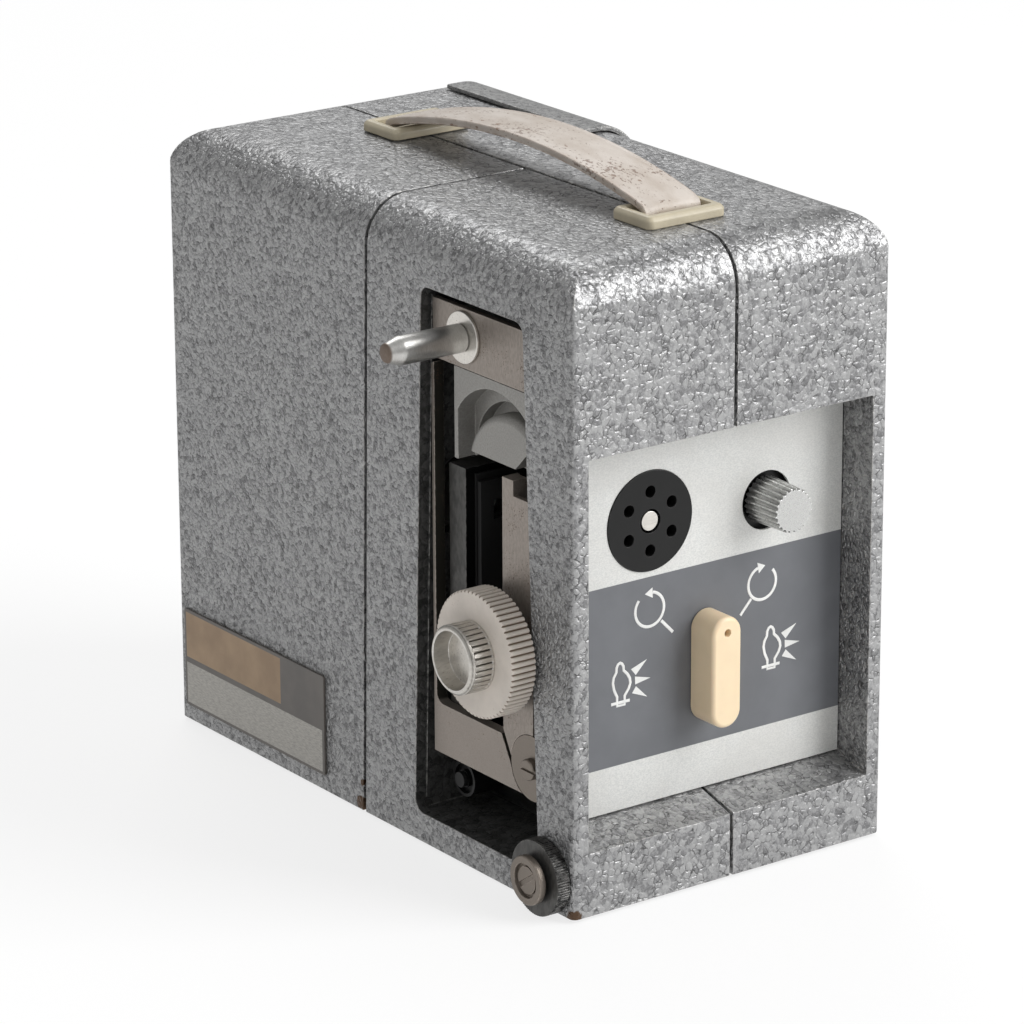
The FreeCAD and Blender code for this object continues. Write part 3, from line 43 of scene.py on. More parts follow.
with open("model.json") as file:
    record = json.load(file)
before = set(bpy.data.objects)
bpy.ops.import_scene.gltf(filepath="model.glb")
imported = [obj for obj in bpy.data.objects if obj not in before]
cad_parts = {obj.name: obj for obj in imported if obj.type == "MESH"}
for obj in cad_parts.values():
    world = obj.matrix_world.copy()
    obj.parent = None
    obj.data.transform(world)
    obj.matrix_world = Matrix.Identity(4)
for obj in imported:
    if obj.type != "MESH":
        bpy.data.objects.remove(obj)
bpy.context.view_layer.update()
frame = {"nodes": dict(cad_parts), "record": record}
MM = 0.001
SLOT_OF = {part["node"]: part["material_slot"] for part in frame["record"]["subparts"]}
BODY_OF = {node: body for body, nodes in frame["record"]["behaviour"]["bodies"].items() for node in nodes}


def mm(*values):
    """A point given in millimetres, in metres."""
    return Vector(value * MM for value in values)


def tone(red, green, blue):
    """A colour read as 0 to 255 screen values, as the linear colour that a shader takes."""
    made = []
    for value in (red, green, blue):
        v = value / 255
        made.append(v / 12.92 if v <= 0.04045 else ((v + 0.055) / 1.055) ** 2.4)
    return (*made, 1.0)


# Selecting and shaping pieces

def leave_edit_mode():
    if bpy.context.object and bpy.context.object.mode != "OBJECT":
        bpy.ops.object.mode_set(mode="OBJECT")


def take(*pieces):
    """Selects only these pieces and makes the first one active."""
    leave_edit_mode()
    bpy.ops.object.select_all(action="DESELECT")
    for piece in pieces:
        piece.select_set(True)
    bpy.context.view_layer.objects.active = pieces[0]


def open_mesh(piece, element="FACE"):
    """Opens a piece in edit mode with nothing selected."""
    take(piece)
    bpy.ops.object.mode_set(mode="EDIT")
    bpy.ops.mesh.select_mode(type=element)
    bpy.ops.mesh.select_all(action="DESELECT")


def pick_faces(piece, wanted):
    """Selects the faces whose centre and normal pass a test, and says how many."""
    mesh = bmesh.from_edit_mesh(piece.data)
    count = 0
    for face in mesh.faces:
        chosen = wanted(face.calc_center_median(), face.normal)
        face.select_set(chosen)
        count += chosen
    mesh.select_flush_mode()
    bmesh.update_edit_mesh(piece.data)
    return count


def pick_edges(piece, wanted):
    """Selects the edges whose two ends pass a test, and says how many."""
    mesh = bmesh.from_edit_mesh(piece.data)
    count = 0
    for edge in mesh.edges:
        chosen = wanted(edge.verts[0].co, edge.verts[1].co)
        edge.select_set(chosen)
        count += chosen
    mesh.select_flush_mode()
    bmesh.update_edit_mesh(piece.data)
    return count


def pick_corners(piece, wanted):
    """Selects the vertices whose place passes a test."""
    mesh = bmesh.from_edit_mesh(piece.data)
    for corner in mesh.verts:
        corner.select_set(wanted(corner.co))
    mesh.select_flush_mode()
    bmesh.update_edit_mesh(piece.data)


def push(x=0.0, y=0.0, z=0.0):
    """Moves what is selected, in millimetres."""
    bpy.ops.transform.translate(value=mm(x, y, z))


def apply_modifier(piece, kind, **settings):
    """Adds one modifier to a piece and applies it."""
    take(piece)
    modifier = piece.modifiers.new(kind.lower(), kind)
    for name, value in settings.items():
        setattr(modifier, name, value)
    bpy.ops.object.modifier_apply(modifier=modifier.name)


def smooth(piece, degrees=35):
    take(piece)
    bpy.ops.object.shade_smooth_by_angle(angle=math.radians(degrees))


def close_up(piece):
    """Merges double vertices, turns all faces outwards and settles the piece at the origin."""
    open_mesh(piece)
    bpy.ops.mesh.select_all(action="SELECT")
    bpy.ops.mesh.remove_doubles(threshold=0.000002)
    bpy.ops.mesh.normals_make_consistent(inside=False)
    leave_edit_mode()
    take(piece)
    bpy.ops.object.transform_apply(location=True, rotation=True, scale=True)


def deliver(piece, name, body, finish, stands_for=()):
    """Names a finished piece, gives it its finish and lets it ride on its body."""
    piece.name = name
    piece.data.name = name
    if finish is not None:
        piece.data.materials.clear()
        piece.data.materials.append(finish)
    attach(piece, body)
    if stands_for:
        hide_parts(*stands_for)
    return piece


def softened(node, width, segments=2, angle=40, finish=None, name=None):
    """A merged copy of a frame node whose sharp edges are rounded, standing for that node."""
    source = frame["nodes"][node]
    piece = bpy.data.objects.new(name or node + "_finished", source.data.copy())
    bpy.context.scene.collection.objects.link(piece)
    open_mesh(piece)
    bpy.ops.mesh.select_all(action="SELECT")
    bpy.ops.mesh.remove_doubles(threshold=0.000002)
    bpy.ops.mesh.dissolve_limited(angle_limit=math.radians(0.3))
    leave_edit_mode()
    take(piece)
    bpy.ops.mesh.customdata_custom_splitnormals_clear()
    apply_modifier(piece, "BEVEL", width=width * MM, segments=segments, limit_method="ANGLE",
                   angle_limit=math.radians(angle), use_clamp_overlap=False, miter_outer="MITER_ARC",
                   loop_slide=False)
    smooth(piece, 32)
    apply_modifier(piece, "WEIGHTED_NORMAL", keep_sharp=True, weight=60)
    return deliver(piece, name or node + "_finished", BODY_OF[node],
                   finish or finish_for(SLOT_OF[node]), [node])


def dress(*nodes):
    """Gives frame nodes that stay as they are the finish of their slot."""
    for node in nodes:
        frame["nodes"][node].material_slots[0].material = finish_for(SLOT_OF[node])


# Shader building

def put(tree, kind, inputs=(), **settings):
    """Adds a node with its settings, and sets or links its inputs."""
    node = tree.nodes.new(kind)
    for name, value in settings.items():
        setattr(node, name, value)
    for name, value in dict(inputs).items():
        if isinstance(value, bpy.types.NodeSocket):
            tree.links.new(value, node.inputs[name])
        else:
            node.inputs[name].default_value = value
    return node


def calc(tree, operation, first, second=0.0, clamp=False):
    return put(tree, "ShaderNodeMath", {0: first, 1: second}, operation=operation, use_clamp=clamp).outputs[0]


def span(tree, value, low, high, out_low=0.0, out_high=1.0, smooth_ends=True):
    """Maps a value's range to another, held at both ends."""
    kind = "SMOOTHSTEP" if smooth_ends else "LINEAR"
    return put(tree, "ShaderNodeMapRange", {"Value": value, "From Min": low, "From Max": high,
                                            "To Min": out_low, "To Max": out_high},
               interpolation_type=kind).outputs["Result"]


def blend(tree, share, first, second):
    """Mixes two colours."""
    return put(tree, "ShaderNodeMix", {0: share, 6: first, 7: second}, data_type="RGBA").outputs[2]


def new_finish(name):
    """A material with an empty tree, its Object coordinates and its output."""
    finish = bpy.data.materials.new(name)
    finish.use_nodes = True
    tree = finish.node_tree
    tree.nodes.clear()
    place = put(tree, "ShaderNodeTexCoord").outputs["Object"]
    return finish, tree, place


def close_finish(tree, base, roughness, metallic=0.0, height=None, relief=0.0, **extra):
    """Adds the Principled shader, its bump and the output."""
    shader = put(tree, "ShaderNodeBsdfPrincipled", {"Base Color": base, "Roughness": roughness,
                                                    "Metallic": metallic, **extra})
    if height is not None:
        bump = put(tree, "ShaderNodeBump", {"Strength": 1.0, "Distance": relief * MM, "Height": height})
        tree.links.new(bump.outputs[0], shader.inputs["Normal"])
    put(tree, "ShaderNodeOutputMaterial", {"Surface": shader.outputs[0]})
    return shader


GROUPS = {}


def effect(name, inputs, outputs):
    """Starts a node group with named inputs (name, default) and outputs."""
    group = bpy.data.node_groups.new(name, "ShaderNodeTree")
    for label, default in inputs:
        kind = "NodeSocketVector" if default is None else "NodeSocketFloat"
        socket = group.interface.new_socket(label, in_out="INPUT", socket_type=kind)
        if default is not None:
            socket.default_value = default
    for label in outputs:
        group.interface.new_socket(label, in_out="OUTPUT", socket_type="NodeSocketFloat")
    start = put(group, "NodeGroupInput")
    end = put(group, "NodeGroupOutput")
    GROUPS[name] = group
    return group, start.outputs, end.inputs


def use(tree, name, **inputs):
    """Places an effect in a material with that material's own values."""
    node = put(tree, "ShaderNodeGroup", node_tree=GROUPS[name])
    for label, value in inputs.items():
        label = label.replace("_", " ")
        if isinstance(value, bpy.types.NodeSocket):
            tree.links.new(value, node.inputs[label])
        else:
            node.inputs[label].default_value = value
    return node.outputs


def build_effects():
    """Builds the effects that several finishes share."""
    # Cells of hammered paint: broken dark lines between cells, a tone for each cell, and the relief
    group, given, made = effect("Hammered cells", [("Place", None), ("Cell size", 2.4), ("Wobble", 0.5)],
                                ["Line", "Tone", "Relief"])
    size = calc(group, "MULTIPLY", given["Cell size"], MM)
    scale = calc(group, "DIVIDE", 1.0, size)
    drift = put(group, "ShaderNodeTexNoise", {"Vector": given["Place"], "Scale": calc(group, "MULTIPLY", scale, 0.8),
                                              "Detail": 3.0, "Roughness": 0.65}).outputs["Color"]
    drift = put(group, "ShaderNodeVectorMath", {0: drift, 1: (0.5, 0.5, 0.5)}, operation="SUBTRACT").outputs[0]
    reach = calc(group, "MULTIPLY", size, given["Wobble"])
    drift = put(group, "ShaderNodeVectorMath", {0: drift, "Scale": reach}, operation="SCALE").outputs[0]
    moved = put(group, "ShaderNodeVectorMath", {0: given["Place"], 1: drift}, operation="ADD").outputs[0]
    edge = put(group, "ShaderNodeTexVoronoi", {"Vector": moved, "Scale": scale}, feature="DISTANCE_TO_EDGE")
    cell = put(group, "ShaderNodeTexVoronoi", {"Vector": moved, "Scale": scale})
    crease = put(group, "ShaderNodeTexNoise", {"Vector": moved, "Scale": calc(group, "MULTIPLY", scale, 1.7),
                                               "Detail": 4.0, "Roughness": 0.62, "Distortion": 0.5}).outputs[0]
    shown = put(group, "ShaderNodeTexNoise", {"Vector": given["Place"], "Scale": calc(group, "MULTIPLY", scale, 0.9),
                                              "Detail": 2.0}).outputs[0]
    shown = span(group, shown, 0.4, 0.66)
    parts = put(group, "ShaderNodeSeparateColor", {0: cell.outputs["Color"]})
    group.links.new(calc(group, "MULTIPLY", span(group, edge.outputs[0], 0.01, 0.1, 1.0, 0.0), shown), made["Line"])
    group.links.new(calc(group, "ADD", calc(group, "MULTIPLY", parts.outputs[0], 0.3),
                         calc(group, "MULTIPLY", crease, 0.7)), made["Tone"])
    dome = calc(group, "MULTIPLY", span(group, edge.outputs[0], 0.0, 0.36), span(group, shown, 0.0, 1.0, 0.55, 1.0))
    group.links.new(calc(group, "ADD", calc(group, "MULTIPLY", dome, 0.75),
                         calc(group, "MULTIPLY", crease, 0.6)), made["Relief"])

    # Small specks that gather in patches
    group, given, made = effect("Specks", [("Place", None), ("Speck size", 0.5), ("Patch size", 12.0), ("Amount", 0.3)],
                                ["Mask"])
    fine = calc(group, "DIVIDE", 1000.0, given["Speck size"])
    wide = calc(group, "DIVIDE", 1000.0, given["Patch size"])
    dots = put(group, "ShaderNodeTexNoise", {"Vector": given["Place"], "Scale": fine, "Detail": 3.0,
                                             "Roughness": 0.55}).outputs[0]
    patch = put(group, "ShaderNodeTexNoise", {"Vector": given["Place"], "Scale": wide, "Detail": 2.0}).outputs[0]
    level = calc(group, "SUBTRACT", 0.86, calc(group, "MULTIPLY", given["Amount"], 0.34))
    level = calc(group, "SUBTRACT", level, calc(group, "MULTIPLY", calc(group, "SUBTRACT", patch, 0.5), 0.55))
    group.links.new(span(group, calc(group, "SUBTRACT", dots, level), 0.0, 0.05), made["Mask"])

    # Grain drawn along one direction of the metal: the Place is already stretched by its Mapping
    group, given, made = effect("Drawn grain", [("Place", None), ("Grain size", 0.15)], ["Value"])
    fine = calc(group, "DIVIDE", 1000.0, given["Grain size"])
    grain = put(group, "ShaderNodeTexNoise", {"Vector": given["Place"], "Scale": fine, "Detail": 3.0,
                                              "Roughness": 0.6}).outputs[0]
    group.links.new(grain, made["Value"])

    # Broad uneven tone, as from handling and age
    group, given, made = effect("Mottle", [("Place", None), ("Patch size", 20.0)], ["Value"])
    wide = calc(group, "DIVIDE", 1000.0, given["Patch size"])
    cloud = put(group, "ShaderNodeTexNoise", {"Vector": given["Place"], "Scale": wide, "Detail": 4.0,
                                              "Roughness": 0.6}).outputs[0]
    group.links.new(span(group, cloud, 0.3, 0.7), made["Value"])

    # Edges for wear and painted edge highlight: where a rounded normal leaves the true one
    group, given, made = effect("Edge wear and highlight", [("Place", None), ("Reach", 0.6), ("Break up", 2.5)], ["Mask"])
    reach = calc(group, "MULTIPLY", given["Reach"], MM)
    rounded = put(group, "ShaderNodeBevel", {"Radius": reach}, samples=4).outputs[0]
    true = put(group, "ShaderNodeNewGeometry").outputs["Normal"]
    turn = put(group, "ShaderNodeVectorMath", {0: rounded, 1: true}, operation="DOT_PRODUCT").outputs["Value"]
    mask = span(group, turn, 0.995, 0.86)
    rough = put(group, "ShaderNodeTexNoise", {"Vector": given["Place"],
                                              "Scale": calc(group, "DIVIDE", 1000.0, given["Break up"]),
                                              "Detail": 3.0}).outputs[0]
    group.links.new(calc(group, "MULTIPLY", mask, span(group, rough, 0.38, 0.62)), made["Mask"])


def near_spot(tree, place, spot, reach, ragged=0.6):
    """A ragged mask round one place on the surface, in millimetres."""
    gap = put(tree, "ShaderNodeVectorMath", {0: place, 1: mm(*spot)}, operation="DISTANCE").outputs["Value"]
    noise = put(tree, "ShaderNodeTexNoise", {"Vector": place, "Scale": 700.0, "Detail": 3.0}).outputs[0]
    edge = calc(tree, "ADD", calc(tree, "DIVIDE", gap, reach * MM), calc(tree, "MULTIPLY", noise, ragged * 2))
    return span(tree, edge, 0.9 + ragged, 1.1 + ragged, 1.0, 0.0)


def stretched(tree, place, x=1.0, y=1.0, z=1.0):
    """Object coordinates squeezed along axes, so that grain runs along the others."""
    return put(tree, "ShaderNodeMapping", {"Vector": place, "Scale": (x, y, z)}).outputs[0]


def in_grooves(tree, place, axis, centre, floor, crest):
    """A mask for the grooves cut round a rim, from their floor's radius to the ridges' crest, in millimetres."""
    first, second = {"X": ("Y", "Z"), "Y": ("X", "Z")}[axis]
    parts = put(tree, "ShaderNodeSeparateXYZ", {0: place}).outputs
    facing = put(tree, "ShaderNodeSeparateXYZ", {0: put(tree, "ShaderNodeTexCoord").outputs["Normal"]}).outputs[axis]
    across = calc(tree, "SUBTRACT", parts[first], centre[0] * MM)
    along = calc(tree, "SUBTRACT", parts[second], centre[1] * MM)
    square = calc(tree, "ADD", calc(tree, "MULTIPLY", across, across), calc(tree, "MULTIPLY", along, along))
    radius = calc(tree, "SQRT", square)
    deep = span(tree, radius, floor * MM, crest * MM, 1.0, 0.0)
    outside = span(tree, radius, (floor - 0.25) * MM, (floor - 0.2) * MM, 0.0, 1.0, False)
    rim = span(tree, calc(tree, "ABSOLUTE", facing), 0.6, 0.8, 1.0, 0.0)
    return calc(tree, "MULTIPLY", calc(tree, "MULTIPLY", deep, outside), rim)


# Finishes

def hammered_paint(name, pale, deep, line, cell_size, roughness, metallic, relief, chips=(), wear_and_sheen=0.5):
    """Hammered enamel: soft cells with broken dark lines, finer on the sides, painted shade in the hollows, edges
    lightened as wear and painted highlight, and a few chips.
    """
    finish, tree, place = new_finish(name)
    facing = put(tree, "ShaderNodeSeparateXYZ", {0: put(tree, "ShaderNodeTexCoord").outputs["Normal"]}).outputs["X"]
    side = span(tree, calc(tree, "ABSOLUTE", facing), 0.5, 0.85)
    coarse = use(tree, "Hammered cells", Place=place, Cell_size=cell_size, Wobble=0.9)
    fine = use(tree, "Hammered cells", Place=place, Cell_size=cell_size * 0.75, Wobble=1.1)
    line_mask, shade, height = [put(tree, "ShaderNodeMix", {0: side, 2: coarse[label], 3: fine[label]}).outputs[0]
                                for label in ("Line", "Tone", "Relief")]
    height = calc(tree, "MULTIPLY", height, span(tree, side, 0.0, 1.0, 1.0, 1.9))
    mottle = use(tree, "Mottle", Place=place, Patch_size=45.0)["Value"]
    base = blend(tree, span(tree, shade, 0.3, 0.7), deep, pale)
    base = blend(tree, calc(tree, "MULTIPLY", mottle, 0.15), base, deep)
    line_share = calc(tree, "MULTIPLY", line_mask, span(tree, side, 0.0, 1.0, 0.85, 0.7))
    base = blend(tree, line_share, base, line)
    # Painted shade: where the cell tone is low, along the hollows of the relief, the colour is darkened towards the
    # line colour, more on the sides.
    hollow_shade = span(tree, shade, 0.28, 0.48, span(tree, side, 0.0, 1.0, 0.35, 0.6), 0.0)
    base = blend(tree, hollow_shade, base, line)
    grime = use(tree, "Specks", Place=place, Speck_size=0.9, Patch_size=30.0, Amount=0.1)["Mask"]
    base = blend(tree, calc(tree, "MULTIPLY", grime, 0.5), base, tone(84, 76, 68))
    # Painted edge highlight, partly wear: the edges are lightened towards pale bare metal.
    worn = use(tree, "Edge wear and highlight", Place=place, Reach=0.7, Break_up=2.0)["Mask"]
    base = blend(tree, calc(tree, "MULTIPLY", worn, wear_and_sheen), base, tone(214, 212, 207))
    for spot, reach in chips:
        base = blend(tree, near_spot(tree, place, spot, reach), base, tone(88, 68, 52))
    rough = calc(tree, "ADD", roughness, calc(tree, "MULTIPLY", line_mask, 0.2), True)
    close_finish(tree, base, rough, metallic, height, relief)
    return finish


def sheet_metal(name, colour, roughness, metallic=0.85, grain=(1.0, 1.0, 1.0), grain_size=0.2, relief=0.01,
                specks=0.0, speck_colour=(0.1, 0.05, 0.03, 1.0), shade=0.75, wear_and_sheen=0.35, patch=14.0, front=None,
                grooves=None, groove_colour=(0.04, 0.04, 0.04, 1.0)):
    """Plain metal with grain, uneven tone, edges lightened as wear and painted highlight, rust or dirt specks, front
    faces darkened as painted shade, and darker grooves.
    """
    finish, tree, place = new_finish(name)
    streak = use(tree, "Drawn grain", Place=stretched(tree, place, *grain), Grain_size=grain_size)["Value"]
    mottle = use(tree, "Mottle", Place=place, Patch_size=patch)["Value"]
    low = tuple(c * shade for c in colour[:3]) + (1.0,)
    base = blend(tree, span(tree, streak, 0.3, 0.7), low, colour)
    base = blend(tree, calc(tree, "MULTIPLY", mottle, 0.35), base, low)
    # Painted shade: faces that turn to the front (-Y) are darkened towards the front colour.
    if front:
        facing = put(tree, "ShaderNodeSeparateXYZ", {0: put(tree, "ShaderNodeTexCoord").outputs["Normal"]})
        base = blend(tree, span(tree, facing.outputs["Y"], -0.8, -0.5, 1.0, 0.0), base, front)
    # Painted edge highlight, partly wear: the edges are lightened towards a brighter copy of the colour.
    worn = use(tree, "Edge wear and highlight", Place=place, Reach=0.45, Break_up=1.5)["Mask"]
    bright = tuple(min(1.0, c * 1.9) for c in colour[:3]) + (1.0,)
    base = blend(tree, calc(tree, "MULTIPLY", worn, wear_and_sheen), base, bright)
    rough = calc(tree, "ADD", roughness, calc(tree, "MULTIPLY", calc(tree, "SUBTRACT", streak, 0.5), 0.15), True)
    metal = metallic
    if specks:
        rust = use(tree, "Specks", Place=place, Speck_size=0.55, Patch_size=9.0, Amount=specks)["Mask"]
        base = blend(tree, calc(tree, "MULTIPLY", rust, 0.8), base, speck_colour)
        rough = calc(tree, "ADD", rough, calc(tree, "MULTIPLY", rust, 0.3), True)
        metal = calc(tree, "SUBTRACT", metallic, calc(tree, "MULTIPLY", rust, metallic * 0.8))
    if grooves:
        base = blend(tree, in_grooves(tree, place, *grooves), base, groove_colour)
    close_finish(tree, base, rough, metal, streak, relief)
    return finish


def moulding(name, colour, roughness, relief=0.01, grain_size=0.5, dirt=0.15, dirt_colour=(0.05, 0.04, 0.03, 1.0),
             shade=0.85, wear_and_sheen=0.0, wear_and_sheen_colour=(0.8, 0.8, 0.8, 1.0), grooves=None,
             groove_colour=(0.1, 0.08, 0.05, 1.0), **extra):
    """Moulded plastic, rubber or glaze with a faint skin, uneven tone and dirt."""
    finish, tree, place = new_finish(name)
    skin = use(tree, "Drawn grain", Place=place, Grain_size=grain_size)["Value"]
    mottle = use(tree, "Mottle", Place=place, Patch_size=9.0)["Value"]
    low = tuple(c * shade for c in colour[:3]) + (1.0,)
    base = blend(tree, mottle, colour, low)
    grime = use(tree, "Specks", Place=place, Speck_size=0.5, Patch_size=8.0, Amount=dirt)["Mask"]
    base = blend(tree, calc(tree, "MULTIPLY", grime, 0.6), base, dirt_colour)
    # Painted edge highlight, partly wear: the edges are blended towards the lighter edge colour.
    if wear_and_sheen:
        worn = use(tree, "Edge wear and highlight", Place=place, Reach=0.4, Break_up=1.2)["Mask"]
        base = blend(tree, calc(tree, "MULTIPLY", worn, wear_and_sheen), base, wear_and_sheen_colour)
    if grooves:
        base = blend(tree, in_grooves(tree, place, *grooves), base, groove_colour)
    rough = calc(tree, "ADD", roughness, calc(tree, "MULTIPLY", calc(tree, "SUBTRACT", skin, 0.5), 0.25), True)
    close_finish(tree, base, rough, 0.0, skin, relief, **extra)
    return finish


def strap_leather():
    """Pale worn leather: fine grain, darker rubbed marks and brown bare spots, mostly along the edges."""
    finish, tree, place = new_finish("strap_leather")
    grain = put(tree, "ShaderNodeTexVoronoi", {"Vector": place, "Scale": 1500.0}, feature="SMOOTH_F1").outputs[0]
    pores = use(tree, "Drawn grain", Place=place, Grain_size=0.35)["Value"]
    mottle = use(tree, "Mottle", Place=stretched(tree, place, 1.0, 0.45, 1.0), Patch_size=9.0)["Value"]
    base = blend(tree, mottle, tone(206, 197, 188), tone(184, 172, 160))
    rub = use(tree, "Specks", Place=stretched(tree, place, 1.0, 0.5, 1.0), Speck_size=2.2, Patch_size=18.0,
              Amount=0.62)["Mask"]
    base = blend(tree, calc(tree, "MULTIPLY", rub, 0.75), base, tone(128, 100, 80))
    bare = use(tree, "Specks", Place=stretched(tree, place, 1.0, 0.6, 1.0), Speck_size=0.9, Patch_size=13.0,
               Amount=0.6)["Mask"]
    base = blend(tree, calc(tree, "MULTIPLY", bare, 0.7), base, tone(112, 84, 66))
    worn = use(tree, "Edge wear and highlight", Place=place, Reach=1.0, Break_up=3.0)["Mask"]
    base = blend(tree, calc(tree, "MULTIPLY", worn, 0.75), base, tone(134, 104, 82))
    height = calc(tree, "SUBTRACT", calc(tree, "ADD", calc(tree, "MULTIPLY", grain, 0.5), pores),
                  calc(tree, "MULTIPLY", bare, 0.9))
    rough = calc(tree, "ADD", 0.42, calc(tree, "MULTIPLY", rub, 0.25), True)
    close_finish(tree, base, rough, 0.0, height, 0.06)
    return finish


def banded_panel():
    """Satin sheet printed with a dark grey field between two bare silver bands."""
    finish, tree, place = new_finish("panel_metal")
    parts = put(tree, "ShaderNodeSeparateXYZ", {0: place}).outputs
    upper = span(tree, parts["Z"], 92.45 * MM, 92.55 * MM, 0.0, 1.0, False)
    lower = span(tree, parts["Z"], 38.15 * MM, 38.25 * MM, 1.0, 0.0, False)
    bare = calc(tree, "MAXIMUM", upper, lower)
    grain = use(tree, "Drawn grain", Place=stretched(tree, place, 0.6, 1.0, 1.0), Grain_size=0.35)["Value"]
    mottle = use(tree, "Mottle", Place=place, Patch_size=16.0)["Value"]
    silver = blend(tree, span(tree, grain, 0.3, 0.7), tone(202, 203, 201), tone(222, 222, 219))
    silver = blend(tree, calc(tree, "MULTIPLY", mottle, 0.3), silver, tone(196, 194, 189))
    field = blend(tree, mottle, tone(100, 102, 106), tone(107, 109, 113))
    base = blend(tree, bare, field, silver)
    dirt = use(tree, "Specks", Place=place, Speck_size=0.8, Patch_size=18.0, Amount=0.16)["Mask"]
    base = blend(tree, calc(tree, "MULTIPLY", dirt, 0.45), base, tone(120, 108, 92))
    rough = span(tree, bare, 0.0, 1.0, 0.5, 0.42, False)
    metal = calc(tree, "MULTIPLY", bare, 0.25)
    close_finish(tree, base, rough, metal, grain, 0.006)
    return finish


def blank_nameplate():
    """Thin plate with a tan field, a dark grey field and a silver strip, all left bare."""
    finish, tree, place = new_finish("plate_metal")
    parts = put(tree, "ShaderNodeSeparateXYZ", {0: place}).outputs

    def inside(axis, low, high):
        above = span(tree, parts[axis], (low - 0.05) * MM, (low + 0.05) * MM, 0.0, 1.0, False)
        below = span(tree, parts[axis], (high - 0.05) * MM, (high + 0.05) * MM, 1.0, 0.0, False)
        return calc(tree, "MULTIPLY", above, below)

    tan = calc(tree, "MULTIPLY", inside("Y", 44.6, 97.0), inside("Z", 22.2, 36.8))
    strip = calc(tree, "MULTIPLY", inside("Y", 22.4, 97.0), inside("Z", 7.2, 20.4))
    grain = use(tree, "Drawn grain", Place=stretched(tree, place, 1.0, 0.15, 1.0), Grain_size=0.25)["Value"]
    mottle = use(tree, "Mottle", Place=place, Patch_size=14.0)["Value"]
    dark = blend(tree, mottle, tone(92, 88, 84), tone(104, 99, 94))
    warm = blend(tree, mottle, tone(168, 141, 110), tone(150, 124, 95))
    silver = blend(tree, span(tree, grain, 0.3, 0.7), tone(150, 147, 142), tone(182, 179, 172))
    base = blend(tree, tan, dark, warm)
    base = blend(tree, strip, base, silver)
    scratch = use(tree, "Specks", Place=stretched(tree, place, 1.0, 0.2, 1.0), Speck_size=0.5, Patch_size=12.0,
                  Amount=0.25)["Mask"]
    base = blend(tree, calc(tree, "MULTIPLY", scratch, 0.5), base, tone(110, 100, 88))
    metal = calc(tree, "MULTIPLY", strip, 0.3)
    close_finish(tree, base, 0.42, metal, grain, 0.006)
    return finish


def clear_glass():
    """Clear glass with faint dust."""
    finish, tree, place = new_finish("clear_glass")
    dust = use(tree, "Specks", Place=place, Speck_size=0.3, Patch_size=6.0, Amount=0.1)["Mask"]
    base = blend(tree, calc(tree, "MULTIPLY", dust, 0.3), (0.95, 0.98, 0.98, 1.0), (0.6, 0.6, 0.58, 1.0))
    rough = calc(tree, "ADD", 0.02, calc(tree, "MULTIPLY", dust, 0.3), True)
    close_finish(tree, base, rough, 0.0, **{"Transmission Weight": 1.0, "IOR": 1.5})
    return finish


def wound_tape():
    """Varnished yellow tape wound round a coil, lap over lap."""
    finish, tree, place = new_finish("coil_wrap")
    laps = put(tree, "ShaderNodeTexWave", {"Vector": place, "Scale": 45.0, "Distortion": 0.6, "Detail": 1.0},
               bands_direction="X").outputs[1]
    weave = use(tree, "Drawn grain", Place=stretched(tree, place, 0.3, 1.0, 1.0), Grain_size=0.3)["Value"]
    mottle = use(tree, "Mottle", Place=place, Patch_size=12.0)["Value"]
    base = blend(tree, mottle, (0.42, 0.30, 0.10, 1.0), (0.30, 0.19, 0.06, 1.0))
    base = blend(tree, span(tree, laps, 0.0, 0.25, 0.6, 0.0), base, (0.12, 0.07, 0.03, 1.0))
    close_finish(tree, base, 0.42, 0.0, calc(tree, "ADD", laps, calc(tree, "MULTIPLY", weave, 0.4)), 0.15)
    return finish


def stacked_laminations():
    """Varnished core sheets, seen as fine lines across the stack."""
    finish, tree, place = new_finish("lamination_steel")
    lines = put(tree, "ShaderNodeTexWave", {"Vector": place, "Scale": 320.0, "Distortion": 0.3, "Detail": 1.0},
                bands_direction="Y").outputs[1]
    mottle = use(tree, "Mottle", Place=place, Patch_size=10.0)["Value"]
    base = blend(tree, mottle, (0.10, 0.10, 0.11, 1.0), (0.15, 0.13, 0.11, 1.0))
    base = blend(tree, span(tree, lines, 0.0, 0.4, 0.7, 0.0), base, (0.02, 0.02, 0.02, 1.0))
    close_finish(tree, base, 0.45, 0.5, lines, 0.08)
    return finish


